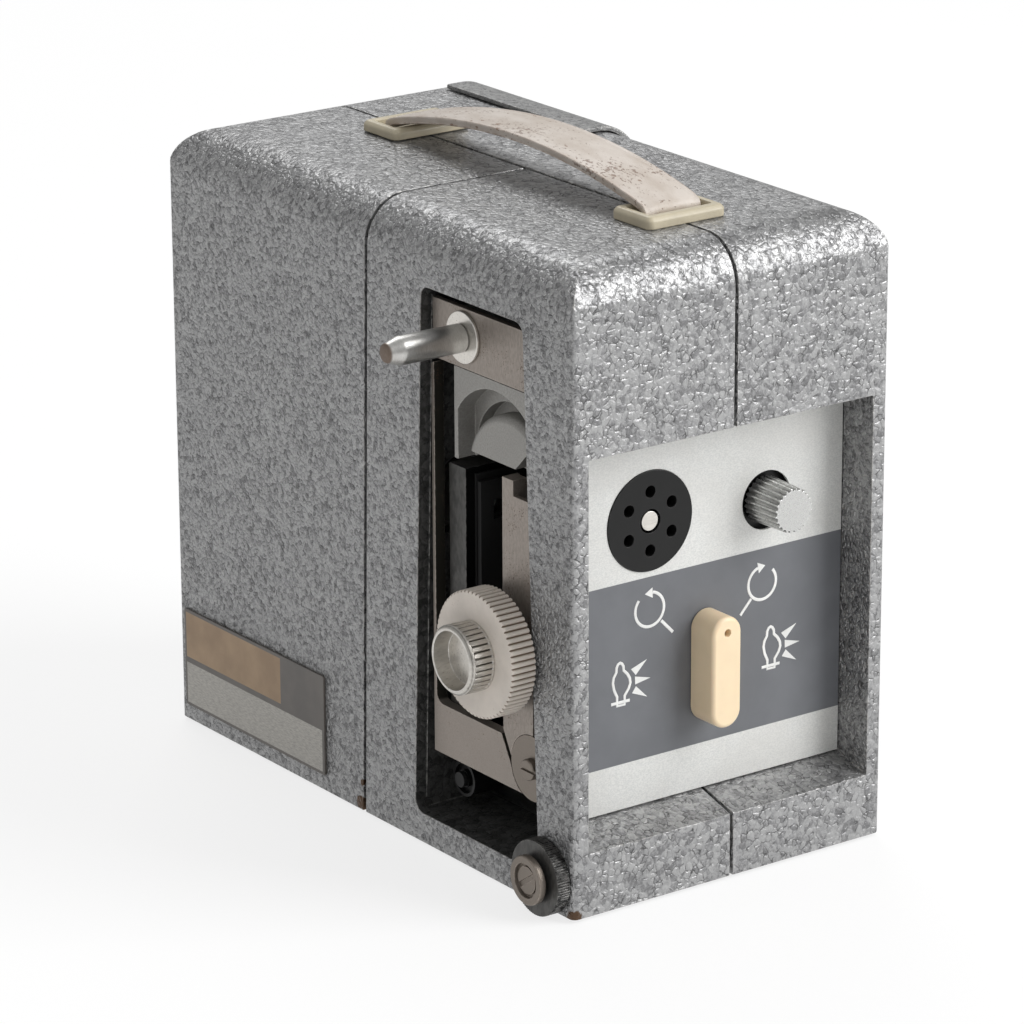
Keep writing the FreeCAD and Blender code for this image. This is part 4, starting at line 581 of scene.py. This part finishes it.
PAINT_CHIPS = [((-56, 3.4, 3.2), 2.2), ((-56, 2.6, 10), 1.0), ((-55.2, -101.2, 1.4), 2.4),
               ((-56, 0.9, 24), 0.8), ((-40, -101.8, 128.5), 1.3), ((-56, -97, 6), 0.8)]
FINISHES = {}
RECIPES = {
    "hammertone": lambda: hammered_paint("hammertone", tone(174, 174, 174), tone(142, 142, 143), tone(66, 66, 66),
                                         2.1, 0.33, 0.68, 0.3, PAINT_CHIPS, 0.75),
    # Painted shade: a darker copy of the hammertone for the threading bay's walls and floor.
    "bay_shade_paint": lambda: hammered_paint("bay_shade_paint", tone(84, 84, 83), tone(58, 58, 57), tone(24, 24, 24),
                                        2.2, 0.4, 0.2, 0.15, (), 0.35),
    "plate_metal": blank_nameplate,
    "panel_metal": banded_panel,
    "strap_leather": strap_leather,
    "clear_glass": clear_glass,
    "coil_wrap": wound_tape,
    "lamination_steel": stacked_laminations,
    "zinc_sheet": lambda: sheet_metal("zinc_sheet", tone(176, 178, 176), 0.42, specks=0.12, patch=10.0),
    "zinc_steel": lambda: sheet_metal("zinc_steel", tone(150, 147, 140), 0.4, specks=0.2),
    "bright_metal": lambda: sheet_metal("bright_metal", tone(222, 218, 211), 0.3, grain=(0.25, 1.0, 1.0),
                                        grain_size=0.7, specks=0.14, shade=0.86, relief=0.004, wear_and_sheen=0.5),
    "knob_metal": lambda: sheet_metal("knob_metal", tone(206, 206, 204), 0.28, grain=(1.0, 0.2, 1.0), grain_size=0.6,
                                      shade=0.88, specks=0.08, relief=0.004, wear_and_sheen=0.9,
                                      grooves=("Y", (22.5, 106.9), 5.7, 6.5), groove_colour=tone(70, 70, 70)),
    "aged_steel": lambda: sheet_metal("aged_steel", tone(160, 151, 143), 0.44, metallic=0.7, grain=(1.0, 1.0, 0.35),
                                      grain_size=0.5, specks=0.56, speck_colour=tone(88, 66, 52), relief=0.02,
                                      shade=0.74, wear_and_sheen=0.8),
    "grey_casting": lambda: sheet_metal("grey_casting", tone(160, 158, 154), 0.5, metallic=0.55, grain_size=0.5,
                                        relief=0.03, specks=0.34, speck_colour=tone(88, 74, 62), shade=0.74,
                                        wear_and_sheen=0.7),
    "spring_steel": lambda: sheet_metal("spring_steel", tone(150, 148, 144), 0.35, grain=(1.0, 1.0, 0.2)),
    "blackened_sheet": lambda: sheet_metal("blackened_sheet", tone(44, 44, 44), 0.5, metallic=0.3, wear_and_sheen=0.15),
    # Painted shade: its front (-Y) faces are darkened almost to black.
    "blackened_steel": lambda: sheet_metal("blackened_steel", tone(98, 97, 95), 0.42, metallic=0.7, grain=(1.0, 1.0, 0.5),
                                           grain_size=1.6, specks=0.3, speck_colour=tone(44, 42, 40), shade=0.5,
                                           wear_and_sheen=0.9, relief=0.05, front=tone(20, 20, 20)),
    "motor_paint": lambda: moulding("motor_paint", (0.03, 0.035, 0.035, 1.0), 0.4, 0.03, wear_and_sheen=0.2),
    "mirror_glass": lambda: sheet_metal("mirror_glass", (0.86, 0.87, 0.88, 1.0), 0.04, 1.0, relief=0.0, shade=0.98),
    "reflector_metal": lambda: sheet_metal("reflector_metal", (0.82, 0.82, 0.81, 1.0), 0.1, 1.0, relief=0.002,
                                           shade=0.94),
    "rubber_black": lambda: moulding("rubber_black", (0.018, 0.018, 0.018, 1.0), 0.7, 0.03, 0.4),
    "beige_plastic": lambda: moulding("beige_plastic", tone(194, 184, 160), 0.38, 0.02, 0.9, dirt=0.3,
                                      dirt_colour=tone(110, 96, 76), wear_and_sheen=0.3, wear_and_sheen_colour=tone(205, 196, 172)),
    "black_plastic": lambda: moulding("black_plastic", (0.008, 0.008, 0.008, 1.0), 0.34, 0.008, 0.3, wear_and_sheen=0.5,
                                       wear_and_sheen_colour=(0.1, 0.1, 0.1, 1.0), **{"Specular IOR Level": 0.28}),
    "ivory_plastic": lambda: moulding("ivory_plastic", tone(236, 214, 180), 0.34, 0.006, 1.2, dirt=0.22,
                                      dirt_colour=tone(150, 112, 76), shade=0.95,
                                      **{"Subsurface Weight": 0.06, "Subsurface Scale": 0.002}),
    "brown_plastic": lambda: moulding("brown_plastic", (0.05, 0.028, 0.018, 1.0), 0.35, 0.01, wear_and_sheen=0.2,
                                      wear_and_sheen_colour=(0.2, 0.14, 0.1, 1.0)),
    "cream_plastic": lambda: moulding("cream_plastic", tone(222, 213, 203), 0.48, 0.04, 0.6, dirt=0.46,
                                      dirt_colour=tone(140, 116, 92), shade=0.88, wear_and_sheen=0.8,
                                      wear_and_sheen_colour=tone(236, 226, 210),
                                      grooves=("X", (-67.5, 72.7), 17.9, 18.5),
                                      groove_colour=tone(112, 92, 72)),
    "ceramic": lambda: moulding("ceramic", (0.72, 0.68, 0.58, 1.0), 0.2, 0.01, 1.5),
    "printed_white": lambda: moulding("printed_white", tone(232, 232, 230), 0.5, 0.004, dirt=0.1),
    "cap_steel": lambda: sheet_metal("cap_steel", tone(136, 127, 118), 0.42, metallic=0.7, specks=0.3,
                                     speck_colour=tone(84, 66, 52), shade=0.8, wear_and_sheen=1.0),
    "cup_metal": lambda: sheet_metal("cup_metal", tone(206, 202, 195), 0.3, grain=(0.3, 1.0, 1.0), grain_size=0.7,
                                     specks=0.14, shade=0.84, relief=0.004, wear_and_sheen=0.9,
                                     grooves=("X", (-67.5, 72.7), 9.75, 10.15), groove_colour=tone(84, 80, 74)),
    # Painted shade: its front (-Y) faces are darkened to a dark olive.
    "leg_steel": lambda: sheet_metal("leg_steel", tone(160, 151, 143), 0.44, metallic=0.7, specks=0.5,
                                     speck_colour=tone(88, 66, 52), relief=0.02, shade=0.74, wear_and_sheen=0.8,
                                     front=tone(62, 60, 54)),
    "flap_paint": lambda: hammered_paint("flap_paint", tone(150, 150, 149), tone(128, 128, 128), tone(84, 84, 84),
                                         1.4, 0.4, 0.5, 0.2, (), 0.9),
}


def finish_for(slot):
    """The finish of one slot, built when it is first needed."""
    if slot not in FINISHES:
        FINISHES[slot] = RECIPES[slot]()
    return FINISHES[slot]


# What a user may change

class StageSettings(bpy.types.PropertyGroup):
    floor_tone: bpy.props.FloatVectorProperty(name="Floor", description="Colour of the floor", size=3,
                                              subtype="COLOR", default=(0.93, 0.93, 0.93), min=0.0, max=1.0)
    key_power: bpy.props.FloatProperty(name="Key light", description="Power of the large light at the right front",
                                       default=38.0, min=0.0, unit="POWER")
    fill_power: bpy.props.FloatProperty(name="Fill light", description="Power of the light on the gate side",
                                        default=1.6, min=0.0, unit="POWER")
    back_power: bpy.props.FloatProperty(name="Back light", description="Power of the light over the rear",
                                        default=10.0, min=0.0, unit="POWER")
    room_light: bpy.props.FloatProperty(name="Room light", description="Strength of the even light all round",
                                        default=0.42, min=0.0)


class CaseSettings(bpy.types.PropertyGroup):
    edge: bpy.props.FloatProperty(name="Edge rounding", description="Rounding of the case's cut edges",
                                  default=0.35 * MM, min=0.0, unit="LENGTH")
    door_edge: bpy.props.FloatProperty(name="Door edge", description="Rounding of the service door's edges",
                                       default=0.5 * MM, min=0.0, unit="LENGTH")


class StrapSettings(bpy.types.PropertyGroup):
    width: bpy.props.FloatProperty(name="Width", description="Width of the hand strap",
                                   default=20.0 * MM, min=0.005, unit="LENGTH")
    thickness: bpy.props.FloatProperty(name="Thickness", description="Thickness of the strap's leather",
                                       default=2.2 * MM, min=0.001, unit="LENGTH")
    rise: bpy.props.FloatProperty(name="Rise", description="Height of the strap's arch over its ends",
                                  default=8.6 * MM, min=0.0, unit="LENGTH")
    crown: bpy.props.FloatProperty(name="Crown", description="How far the strap's middle stands above its edges",
                                   default=0.25 * MM, min=0.0, unit="LENGTH")


class PanelSettings(bpy.types.PropertyGroup):
    stroke: bpy.props.FloatProperty(name="Stroke", description="Width of the printed lines",
                                    default=0.95 * MM, min=0.0001, unit="LENGTH")
    print_height: bpy.props.FloatProperty(name="Print height", description="Thickness of the printed marks",
                                          default=0.05 * MM, min=0.00001, unit="LENGTH")


class GateSettings(bpy.types.PropertyGroup):
    edge: bpy.props.FloatProperty(name="Edge rounding", description="Rounding of the film gate's edges",
                                  default=0.25 * MM, min=0.0, unit="LENGTH")


# Pieces

class PROJECTOR_OT_stage(bpy.types.Operator):
    """Sets the camera, the pale floor and the soft lights."""
    bl_idname = "projector.stage"
    bl_label = "Stage"

    def execute(self, context):
        wanted = context.scene.projector_stage
        scene = context.scene
        scene.view_settings.view_transform = "Standard"
        turn = Euler((math.pi / 2 - 0.323871, 0.0, -0.627774)).to_matrix() @ Matrix.Rotation(-0.004463, 3, "Z")
        bpy.ops.object.camera_add(location=mm(-843.81, -1159.10, 565.14), rotation=turn.to_euler())
        camera = context.object
        camera.name = "camera"
        camera.data.sensor_width = 36.0
        camera.data.lens = 178.8
        camera.data.clip_start = 0.05
        camera.data.clip_end = 50.0
        scene.camera = camera
        self.lay_floor(context, wanted)
        aim = mm(0, 0, 90)
        for name, place, size, power in (
                ("key", (1.1, -1.3, 1.15), (1.1, 1.8), wanted.key_power),
                ("fill", (-0.85, -0.75, 0.95), (0.7, 0.7), wanted.fill_power),
                ("back", (0.5, 1.2, 1.5), (1.0, 1.0), wanted.back_power)):
            where = Vector(place)
            facing = (aim - where).to_track_quat("-Z", "Y").to_euler()
            bpy.ops.object.light_add(type="AREA", location=where, rotation=facing)
            lamp = context.object
            lamp.name = name + "_light"
            lamp.data.shape = "RECTANGLE"
            lamp.data.size, lamp.data.size_y = size
            lamp.data.energy = power
        self.light_room(scene, wanted)
        return {"FINISHED"}

    def lay_floor(self, context, wanted):
        """A wide pale floor, seen as almost white."""
        bpy.ops.mesh.primitive_plane_add(size=12.0, location=(0, 0, 0))
        floor = context.object
        floor.name = "floor"
        finish, tree, place = new_finish("floor_paper")
        ray = put(tree, "ShaderNodeLightPath").outputs
        seen = calc(tree, "MAXIMUM", ray["Is Camera Ray"],
                    calc(tree, "MAXIMUM", ray["Is Glossy Ray"], ray["Is Transmission Ray"]))
        mottle = use(tree, "Mottle", Place=place, Patch_size=700.0)["Value"]
        pale = (*wanted.floor_tone, 1.0)
        paper = put(tree, "ShaderNodeBsdfDiffuse", {"Color": blend(tree, mottle, pale, (0.9, 0.9, 0.9, 1.0))})
        white = put(tree, "ShaderNodeEmission", {"Color": (1.0, 1.0, 1.0, 1.0), "Strength": 1.03})
        share = calc(tree, "MULTIPLY", seen, 0.74)
        mixed = put(tree, "ShaderNodeMixShader", {0: share, 1: paper.outputs[0], 2: white.outputs[0]})
        put(tree, "ShaderNodeOutputMaterial", {"Surface": mixed.outputs[0]})
        floor.data.materials.append(finish)

    def light_room(self, scene, wanted):
        """Even light all round, seen as white by the camera and in reflections."""
        room = bpy.data.worlds.new("room")
        scene.world = room
        room.use_nodes = True
        tree = room.node_tree
        tree.nodes.clear()
        ray = put(tree, "ShaderNodeLightPath").outputs
        seen = calc(tree, "MAXIMUM", ray["Is Camera Ray"], ray["Is Transmission Ray"])
        strength = span(tree, seen, 0.0, 1.0, wanted.room_light, 1.0, False)
        glow = put(tree, "ShaderNodeBackground", {"Color": (1.0, 1.0, 1.0, 1.0), "Strength": strength})
        put(tree, "ShaderNodeOutputWorld", {"Surface": glow.outputs[0]})


class PROJECTOR_OT_case(bpy.types.Operator):
    """Makes the painted case: the two front shells, the rear side cover, the service door and the plate."""
    bl_idname = "projector.case"
    bl_label = "Case"

    def execute(self, context):
        wanted = context.scene.projector_case
        edge = wanted.edge / MM
        softened("right_shell", edge, name="right_case_shell")
        gate_side = softened("gate_side_shell", edge, name="gate_side_case_shell")
        softened("rear_side_cover", edge, name="rear_cover")
        softened("service_door", wanted.door_edge / MM, finish=finish_for("flap_paint"), name="service_flap")
        softened("nameplate", 0.15, name="blank_plate")
        self.paint_bay_shade(gate_side)
        dress("base_plate", "housing_screws", "rubber_feet", "door_hinge_pin")
        return {"FINISHED"}

    def paint_bay_shade(self, shell):
        """Paints the walls and floor of the threading bay with the darker hammertone copy, as painted shade."""
        shell.data.materials.append(finish_for("bay_shade_paint"))
        open_mesh(shell)
        found = pick_faces(shell, lambda c, n: c.x > -0.05575 and -0.0868 < c.y < -0.0232
                           and 0.007 < c.z < 0.1722 and n.x < 0.6)
        if not found:
            raise RuntimeError("the threading bay's faces were not found")
        shell.active_material_index = 1
        bpy.ops.object.material_slot_assign()
        leave_edit_mode()


class PROJECTOR_OT_strap(bpy.types.Operator):
    """Makes the arched leather strap and the two brackets that hold it."""
    bl_idname = "projector.strap"
    bl_label = "Hand strap"

    def execute(self, context):
        wanted = context.scene.projector_strap
        width = wanted.width / MM
        thick = wanted.thickness / MM
        low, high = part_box("handle_strap")
        front, rear = low.y / MM, high.y / MM
        west = (low.x + high.x) / 2 / MM - width / 2
        path = self.arch_path(front, rear, (high.z - wanted.crown) / MM, wanted.rise / MM)
        bpy.ops.mesh.primitive_plane_add(size=1.0)
        strap = context.object
        open_mesh(strap, "VERT")
        self.start_edge(strap, west, width, path[0])
        here = path[0]
        for there in path[1:]:
            bpy.ops.mesh.extrude_region_move(
                TRANSFORM_OT_translate={"value": mm(0, there[0] - here[0], there[1] - here[1])})
            here = there
        for offset in (0.5, 1.25, 1.6, 3.0, 6.5, width / 2, width - 6.5, width - 3.0, width - 1.6, width - 1.25,
                       width - 0.5):
            bpy.ops.mesh.select_all(action="SELECT")
            bpy.ops.mesh.bisect(plane_co=mm(west + offset, 0, 0), plane_no=(1, 0, 0))
        self.shape_section(strap, west, width, wanted.crown / MM)
        leave_edit_mode()
        close_up(strap)
        self.face_up(strap)
        apply_modifier(strap, "SOLIDIFY", thickness=thick * MM, offset=-1.0)
        apply_modifier(strap, "BEVEL", width=0.45 * MM, segments=2, limit_method="ANGLE",
                       angle_limit=math.radians(50), use_clamp_overlap=False)
        apply_modifier(strap, "SUBSURF", levels=1, render_levels=1)
        smooth(strap, 60)
        deliver(strap, "hand_strap", "base", finish_for("strap_leather"), ["handle_strap"])
        for node in ("handle_bracket_front", "handle_bracket_rear"):
            softened(node, 0.45, 3, name=node.replace("handle", "strap"))
        return {"FINISHED"}

    def arch_path(self, front, rear, top, rise):
        """Line of the strap's top, as (y, z) in millimetres, with both ends turned down."""
        middle = (front + rear) / 2
        half = (rear - front) / 2
        radius = (half * half + rise * rise) / (2 * rise)

        def height(y):
            return top - radius + math.sqrt(radius * radius - (y - middle) ** 2)

        shoulder = [(front + 0.1, top - rise - 3.0), (front + 0.1, top - rise - 1.5), (front + 0.6, top - rise - 0.5),
                    (front + 1.7, height(front + 1.7) - 0.25)]
        steps = 26
        arch = [(y, height(y)) for y in (front + 3.2 + (2 * half - 6.4) * i / steps for i in range(steps + 1))]
        return shoulder + arch + [(2 * middle - y, z) for y, z in reversed(shoulder)]

    def start_edge(self, strap, west, width, start):
        """Turns the starting plane into one edge across the strap's front end."""
        pick_corners(strap, lambda c: c.y > 0)
        bpy.ops.mesh.delete(type="VERT")
        pick_corners(strap, lambda c: True)
        bpy.ops.transform.resize(value=(width * MM, 1, 1))
        bpy.ops.transform.translate(value=(west * MM + width * MM / 2, start[0] * MM + 0.5, start[1] * MM))

    def shape_section(self, strap, west, width, crown):
        """Crowns the strap and presses a line along each edge."""
        def from_edge(c):
            side = c.x / MM - west
            return min(side, width - side)

        for low, high, lift in ((2.9, 6.4, 0.6), (6.4, width, 1.0)):
            pick_corners(strap, lambda c: low <= from_edge(c) < high)
            push(z=crown * lift)
        pick_corners(strap, lambda c: 1.2 <= from_edge(c) < 1.65)
        push(z=-0.22)
        pick_corners(strap, lambda c: from_edge(c) < 0.1)
        push(z=-0.18)

    def face_up(self, strap):
        """Makes the strap's faces point up before it gets its thickness."""
        open_mesh(strap)
        up = pick_faces(strap, lambda c, n: n.z > 0.5)
        down = pick_faces(strap, lambda c, n: n.z < -0.5)
        if down > up:
            bpy.ops.mesh.select_all(action="SELECT")
            bpy.ops.mesh.flip_normals()
        leave_edit_mode()


class PROJECTOR_OT_panel(bpy.types.Operator):
    """Makes the control panel with its printed marks, socket, knob and selector."""
    bl_idname = "projector.panel"
    bl_label = "Control panel"

    def execute(self, context):
        wanted = context.scene.projector_panel
        softened("control_panel", 0.12, name="front_panel")
        softened("round_socket", 0.22, name="outlet_socket")
        softened("socket_pin", 0.3, name="outlet_centre_pin")
        softened("fluted_knob", 0.1, 1, 42, name="speed_knob")
        softened("selector_handle", 0.15, name="selector_bar")
        dress("rotary_control", "selector_switch")
        self.print_marks(context, wanted)
        return {"FINISHED"}

    def print_marks(self, context, wanted):
        """Prints the two turning arrows and the two lamp signs."""
        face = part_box("control_panel")[0].y
        marks = []

        def line(points, closed=False):
            marks.append(self.stroke(context, points, closed, wanted.stroke / 2, face, wanted.print_height))

        def solid(points):
            marks.append(self.filled(context, points, face, wanted.print_height))

        def arc(x, z, radius, start, end, steps=36):
            turn = [math.radians(start + (end - start) * i / steps) for i in range(steps + 1)]
            return [(x + radius * math.cos(a), z + radius * math.sin(a)) for a in turn]

        line(arc(-19.45, 82.7, 5.1, 78, -221))
        solid([(-21.2, 87.6), (-18.5, 89.1), (-18.4, 86.0)])
        line([(-15.3, 78.5), (-11.1, 74.2)])
        line(arc(21.15, 82.15, 5.05, 108, 402))
        solid([(22.2, 87.3), (19.3, 88.6), (19.9, 85.3)])
        line([(17.2, 78.1), (13.3, 73.9)])
        for dx, dz in ((0.0, 0.0), (54.35, -0.8)):
            lamp = [(-30.9, 56.1), (-30.9, 58.9), (-32.0, 61.2), (-32.4, 63.3), (-32.1, 64.9), (-31.2, 66.3),
                    (-31.1, 67.7), (-30.6, 68.6), (-29.9, 68.9), (-29.2, 68.5), (-28.7, 67.7), (-28.6, 66.4),
                    (-27.3, 65.1), (-26.4, 63.6), (-26.2, 62.2), (-26.8, 60.6), (-28.2, 58.8), (-28.2, 56.1)]
            line([(x + dx, z + dz) for x, z in lamp], True)
            line([(-33.0 + dx, 57.0 + dz), (-26.4 + dx, 57.0 + dz)])
            for ray in (((-26.0, 66.2), (-24.3, 64.1), (-20.4, 68.0)), ((-24.6, 63.7), (-24.5, 61.3), (-19.1, 62.2)),
                        ((-25.6, 58.9), (-24.2, 60.7), (-20.2, 56.7))):
                solid([(x + dx, z + dz) for x, z in ray])
        take(*marks)
        bpy.ops.object.join()
        deliver(context.object, "panel_marks", "base", finish_for("printed_white"))

    def flat_curve(self, points, closed):
        """A curve through points (x, z) in millimetres, drawn in its own plane."""
        curve = bpy.data.curves.new("mark", "CURVE")
        curve.dimensions = "3D"
        spline = curve.splines.new("POLY")
        spline.points.add(len(points) - 1)
        for point, (x, z) in zip(spline.points, points):
            point.co = (x * MM, z * MM, 0.0, 1.0)
        spline.use_cyclic_u = closed
        return curve

    def place_mark(self, context, curve, face, depth):
        """Stands a flat curve up on the panel's face as a thin mesh."""
        mark = bpy.data.objects.new("mark", curve)
        context.scene.collection.objects.link(mark)
        take(mark)
        bpy.ops.object.convert(target="MESH")
        mark = context.object
        thick = max(mark.dimensions.z, 1e-9)
        mark.scale = (1.0, 1.0, 2 * depth / thick)
        mark.rotation_euler = (math.pi / 2, 0.0, 0.0)
        mark.location = (0.0, face, 0.0)
        bpy.ops.object.transform_apply(location=True, rotation=True, scale=True)
        return mark

    def stroke(self, context, points, closed, half, face, depth):
        curve = self.flat_curve(points, closed)
        curve.bevel_depth = half
        curve.bevel_resolution = 2
        curve.use_fill_caps = True
        return self.place_mark(context, curve, face, depth)

    def filled(self, context, points, face, depth):
        curve = self.flat_curve(points, True)
        curve.dimensions = "2D"
        curve.fill_mode = "BOTH"
        curve.extrude = 0.1 * MM
        return self.place_mark(context, curve, face, depth)


class PROJECTOR_OT_gate(bpy.types.Operator):
    """Makes the film gate: frame, plates, casting, former, lever and rollers."""
    bl_idname = "projector.gate"
    bl_label = "Film gate"

    def execute(self, context):
        edge = context.scene.projector_gate.edge / MM
        for node, name in (("gate_frame", "gate_frame_bar"), ("spindle_plate", "spindle_cover_plate"),
                           ("gate_casting", "loop_housing"), ("loop_former", "film_loop_former"),
                           ("gate_block", "gate_guide_block"), ("gate_lever", "gate_opening_lever")):
            # The frame and the guide block take finishes whose front faces carry painted shade.
            special = {"gate_frame": "leg_steel", "gate_block": "blackened_steel"}.get(node)
            softened(node, edge, name=name, finish=finish_for(special) if special else None)
        softened("spindle_bush", 0.3, 3, name="spindle_collar")
        softened("pivot_disc", 0.12, name="lever_washer", finish=finish_for("cap_steel"))
        softened("pivot_screw", 0.1, name="lever_screw", finish=finish_for("cap_steel"))
        dress("lever_spring", "guide_roller", "film_sprocket")
        # The aperture plate and pressure pad take the dark sheet; on the posts the dark sheet is painted shade.
        for node in ("aperture_plate", "pressure_pad", "mechanism_posts"):
            frame["nodes"][node].material_slots[0].material = finish_for("blackened_sheet")
        return {"FINISHED"}


class PROJECTOR_OT_spindle(bpy.types.Operator):
    """Turns the reel spindle, with its tapered nose and dull end."""
    bl_idname = "projector.spindle"
    bl_label = "Reel spindle"

    def execute(self, context):
        low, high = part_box("reel_spindle")
        y, z = -46.5, 158.6
        tip, back = low.x / MM, high.x / MM
        profile = [(tip + 0.02, 0.0), (tip + 0.02, 2.3), (tip + 0.2, 2.65), (tip + 0.6, 2.85), (tip + 4.0, 3.92),
                   (tip + 4.5, 4.12), (tip + 5.2, 4.18),
                   (-54.3, 4.18), (-54.02, 3.95), (-54.02, 3.5), (back - 2.2, 3.5), (back - 2.2, 5.9), (back, 5.9),
                   (back, 0.0)]
        bpy.ops.mesh.primitive_plane_add(size=0.001)
        spindle = context.object
        open_mesh(spindle, "VERT")
        pick_corners(spindle, lambda c: c.x > 0 or c.y > 0)
        bpy.ops.mesh.delete(type="VERT")
        pick_corners(spindle, lambda c: True)
        x0, r0 = profile[0]
        bpy.ops.transform.translate(value=mm(x0, y, z) - mm(-0.5, -0.5, 0))
        here = profile[0]
        for there in profile[1:]:
            bpy.ops.mesh.extrude_region_move(
                TRANSFORM_OT_translate={"value": mm(there[0] - here[0], 0, there[1] - here[1])})
            here = there
        bpy.ops.mesh.select_all(action="SELECT")
        bpy.ops.mesh.spin(steps=64, angle=2 * math.pi, center=mm(0, y, z), axis=(1, 0, 0))
        close_up(spindle)
        smooth(spindle, 40)
        deliver(spindle, "reel_spindle_turned", "spindle", self.spindle_steel(tip), ["reel_spindle"])
        return {"FINISHED"}

    def spindle_steel(self, tip):
        """Bright turned steel whose end is worn to a dull brown."""
        finish, tree, place = new_finish("spindle_steel")
        parts = put(tree, "ShaderNodeSeparateXYZ", {0: place}).outputs
        rings = use(tree, "Drawn grain", Place=stretched(tree, place, 1.0, 0.1, 0.1), Grain_size=0.1)["Value"]
        mottle = use(tree, "Mottle", Place=place, Patch_size=5.0)["Value"]
        base = blend(tree, span(tree, rings, 0.3, 0.7), tone(196, 195, 192), tone(220, 219, 216))
        base = blend(tree, calc(tree, "MULTIPLY", mottle, 0.25), base, tone(140, 134, 126))
        end = span(tree, parts["X"], (tip + 0.3) * MM, (tip + 1.1) * MM, 0.85, 0.0)
        base = blend(tree, end, base, tone(104, 84, 68))
        rust = use(tree, "Specks", Place=place, Speck_size=0.4, Patch_size=6.0, Amount=0.2)["Mask"]
        base = blend(tree, calc(tree, "MULTIPLY", rust, 0.5), base, tone(96, 80, 66))
        rough = calc(tree, "ADD", 0.34, calc(tree, "MULTIPLY", end, 0.3), True)
        close_finish(tree, base, rough, 0.9, rings, 0.008)
        return finish


class PROJECTOR_OT_hand_wheel(bpy.types.Operator):
    """Makes the fluted hand wheel, its knurled cup and the shaft behind them."""
    bl_idname = "projector.hand_wheel"
    bl_label = "Hand wheel"

    def execute(self, context):
        softened("inching_wheel", 0.12, 1, 40, name="hand_wheel")
        softened("hub_cup", 0.08, 1, 40, name="hand_wheel_cup", finish=finish_for("cup_metal"))
        dress("drive_shaft", "shaft_bracket")
        return {"FINISHED"}


class PROJECTOR_OT_levelling_knob(bpy.types.Operator):
    """Makes the levelling knob at the lower front corner."""
    bl_idname = "projector.levelling_knob"
    bl_label = "Levelling knob"

    def execute(self, context):
        softened("tilt_knob", 0.18, 2, 60, name="levelling_disc")
        softened("tilt_cap", 0.25, 2, name="levelling_cap", finish=finish_for("cap_steel"))
        softened("tilt_screw", 0.1, 2, name="levelling_screw", finish=finish_for("cap_steel"))
        return {"FINISHED"}


class PROJECTOR_OT_optics(bpy.types.Operator):
    """Finishes the lamp, the condenser, the mirror and the lens."""
    bl_idname = "projector.optics"
    bl_label = "Lamp and lens"

    def execute(self, context):
        softened("lens_barrel", 0.2, 2, name="lens_tube")
        softened("lens_mount", 0.3, 2, name="lens_holder")
        dress("lens_elements", "fold_mirror", "lamp_bench", "condenser_lenses", "reflector", "lamp_bulb",
              "lamp_socket")
        return {"FINISHED"}


class PROJECTOR_OT_drive(bpy.types.Operator):
    """Finishes the motor, its fan, the belts and the shutter."""
    bl_idname = "projector.drive"
    bl_label = "Drive"

    def execute(self, context):
        dress("drive_belts", "motor_body", "motor_shaft", "fan_impeller", "shutter", "chassis_plate")
        return {"FINISHED"}


class PROJECTOR_OT_mains(bpy.types.Operator):
    """Finishes the transformer and the mains inlet behind the service door."""
    bl_idname = "projector.mains"
    bl_label = "Mains parts"

    def execute(self, context):
        softened("mains_inlet", 0.25, 2, name="mains_inlet_board")
        dress("transformer_core", "transformer_coil")
        return {"FINISHED"}


class PROJECTOR_PT_panel(bpy.types.Panel):
    """Lists the projector's pieces and their sizes."""
    bl_label = "Projector"
    bl_idname = "PROJECTOR_PT_panel"
    bl_space_type = "VIEW_3D"
    bl_region_type = "UI"
    bl_category = "Projector"

    def draw(self, context):
        layout = self.layout
        for label, group in (("Stage", "projector_stage"), ("Case", "projector_case"), ("Strap", "projector_strap"),
                             ("Panel", "projector_panel"), ("Gate", "projector_gate")):
            box = layout.box()
            box.label(text=label)
            settings = getattr(context.scene, group)
            for name in settings.__annotations__:
                box.prop(settings, name)
        for operator in OPERATORS:
            layout.operator(operator.bl_idname)


SETTINGS = {
    "projector_stage": StageSettings,
    "projector_case": CaseSettings,
    "projector_strap": StrapSettings,
    "projector_panel": PanelSettings,
    "projector_gate": GateSettings,
}
OPERATORS = [
    PROJECTOR_OT_stage,
    PROJECTOR_OT_case,
    PROJECTOR_OT_strap,
    PROJECTOR_OT_panel,
    PROJECTOR_OT_gate,
    PROJECTOR_OT_spindle,
    PROJECTOR_OT_hand_wheel,
    PROJECTOR_OT_levelling_knob,
    PROJECTOR_OT_optics,
    PROJECTOR_OT_drive,
    PROJECTOR_OT_mains,
]


def register():
    for group in (*SETTINGS.values(), *OPERATORS, PROJECTOR_PT_panel):
        bpy.utils.register_class(group)
    for name, group in SETTINGS.items():
        setattr(bpy.types.Scene, name, bpy.props.PointerProperty(type=group))


def unregister():
    for name in SETTINGS:
        delattr(bpy.types.Scene, name)
    for group in (PROJECTOR_PT_panel, *reversed(OPERATORS), *reversed(SETTINGS.values())):
        bpy.utils.unregister_class(group)


def main():
    register()
    build_effects()
    bpy.ops.projector.stage()
    bpy.ops.projector.case()
    bpy.ops.projector.strap()
    bpy.ops.projector.panel()
    bpy.ops.projector.gate()
    bpy.ops.projector.spindle()
    bpy.ops.projector.hand_wheel()
    bpy.ops.projector.levelling_knob()
    bpy.ops.projector.optics()
    bpy.ops.projector.drive()
    bpy.ops.projector.mains()


if __name__ == "__main__":
    main()
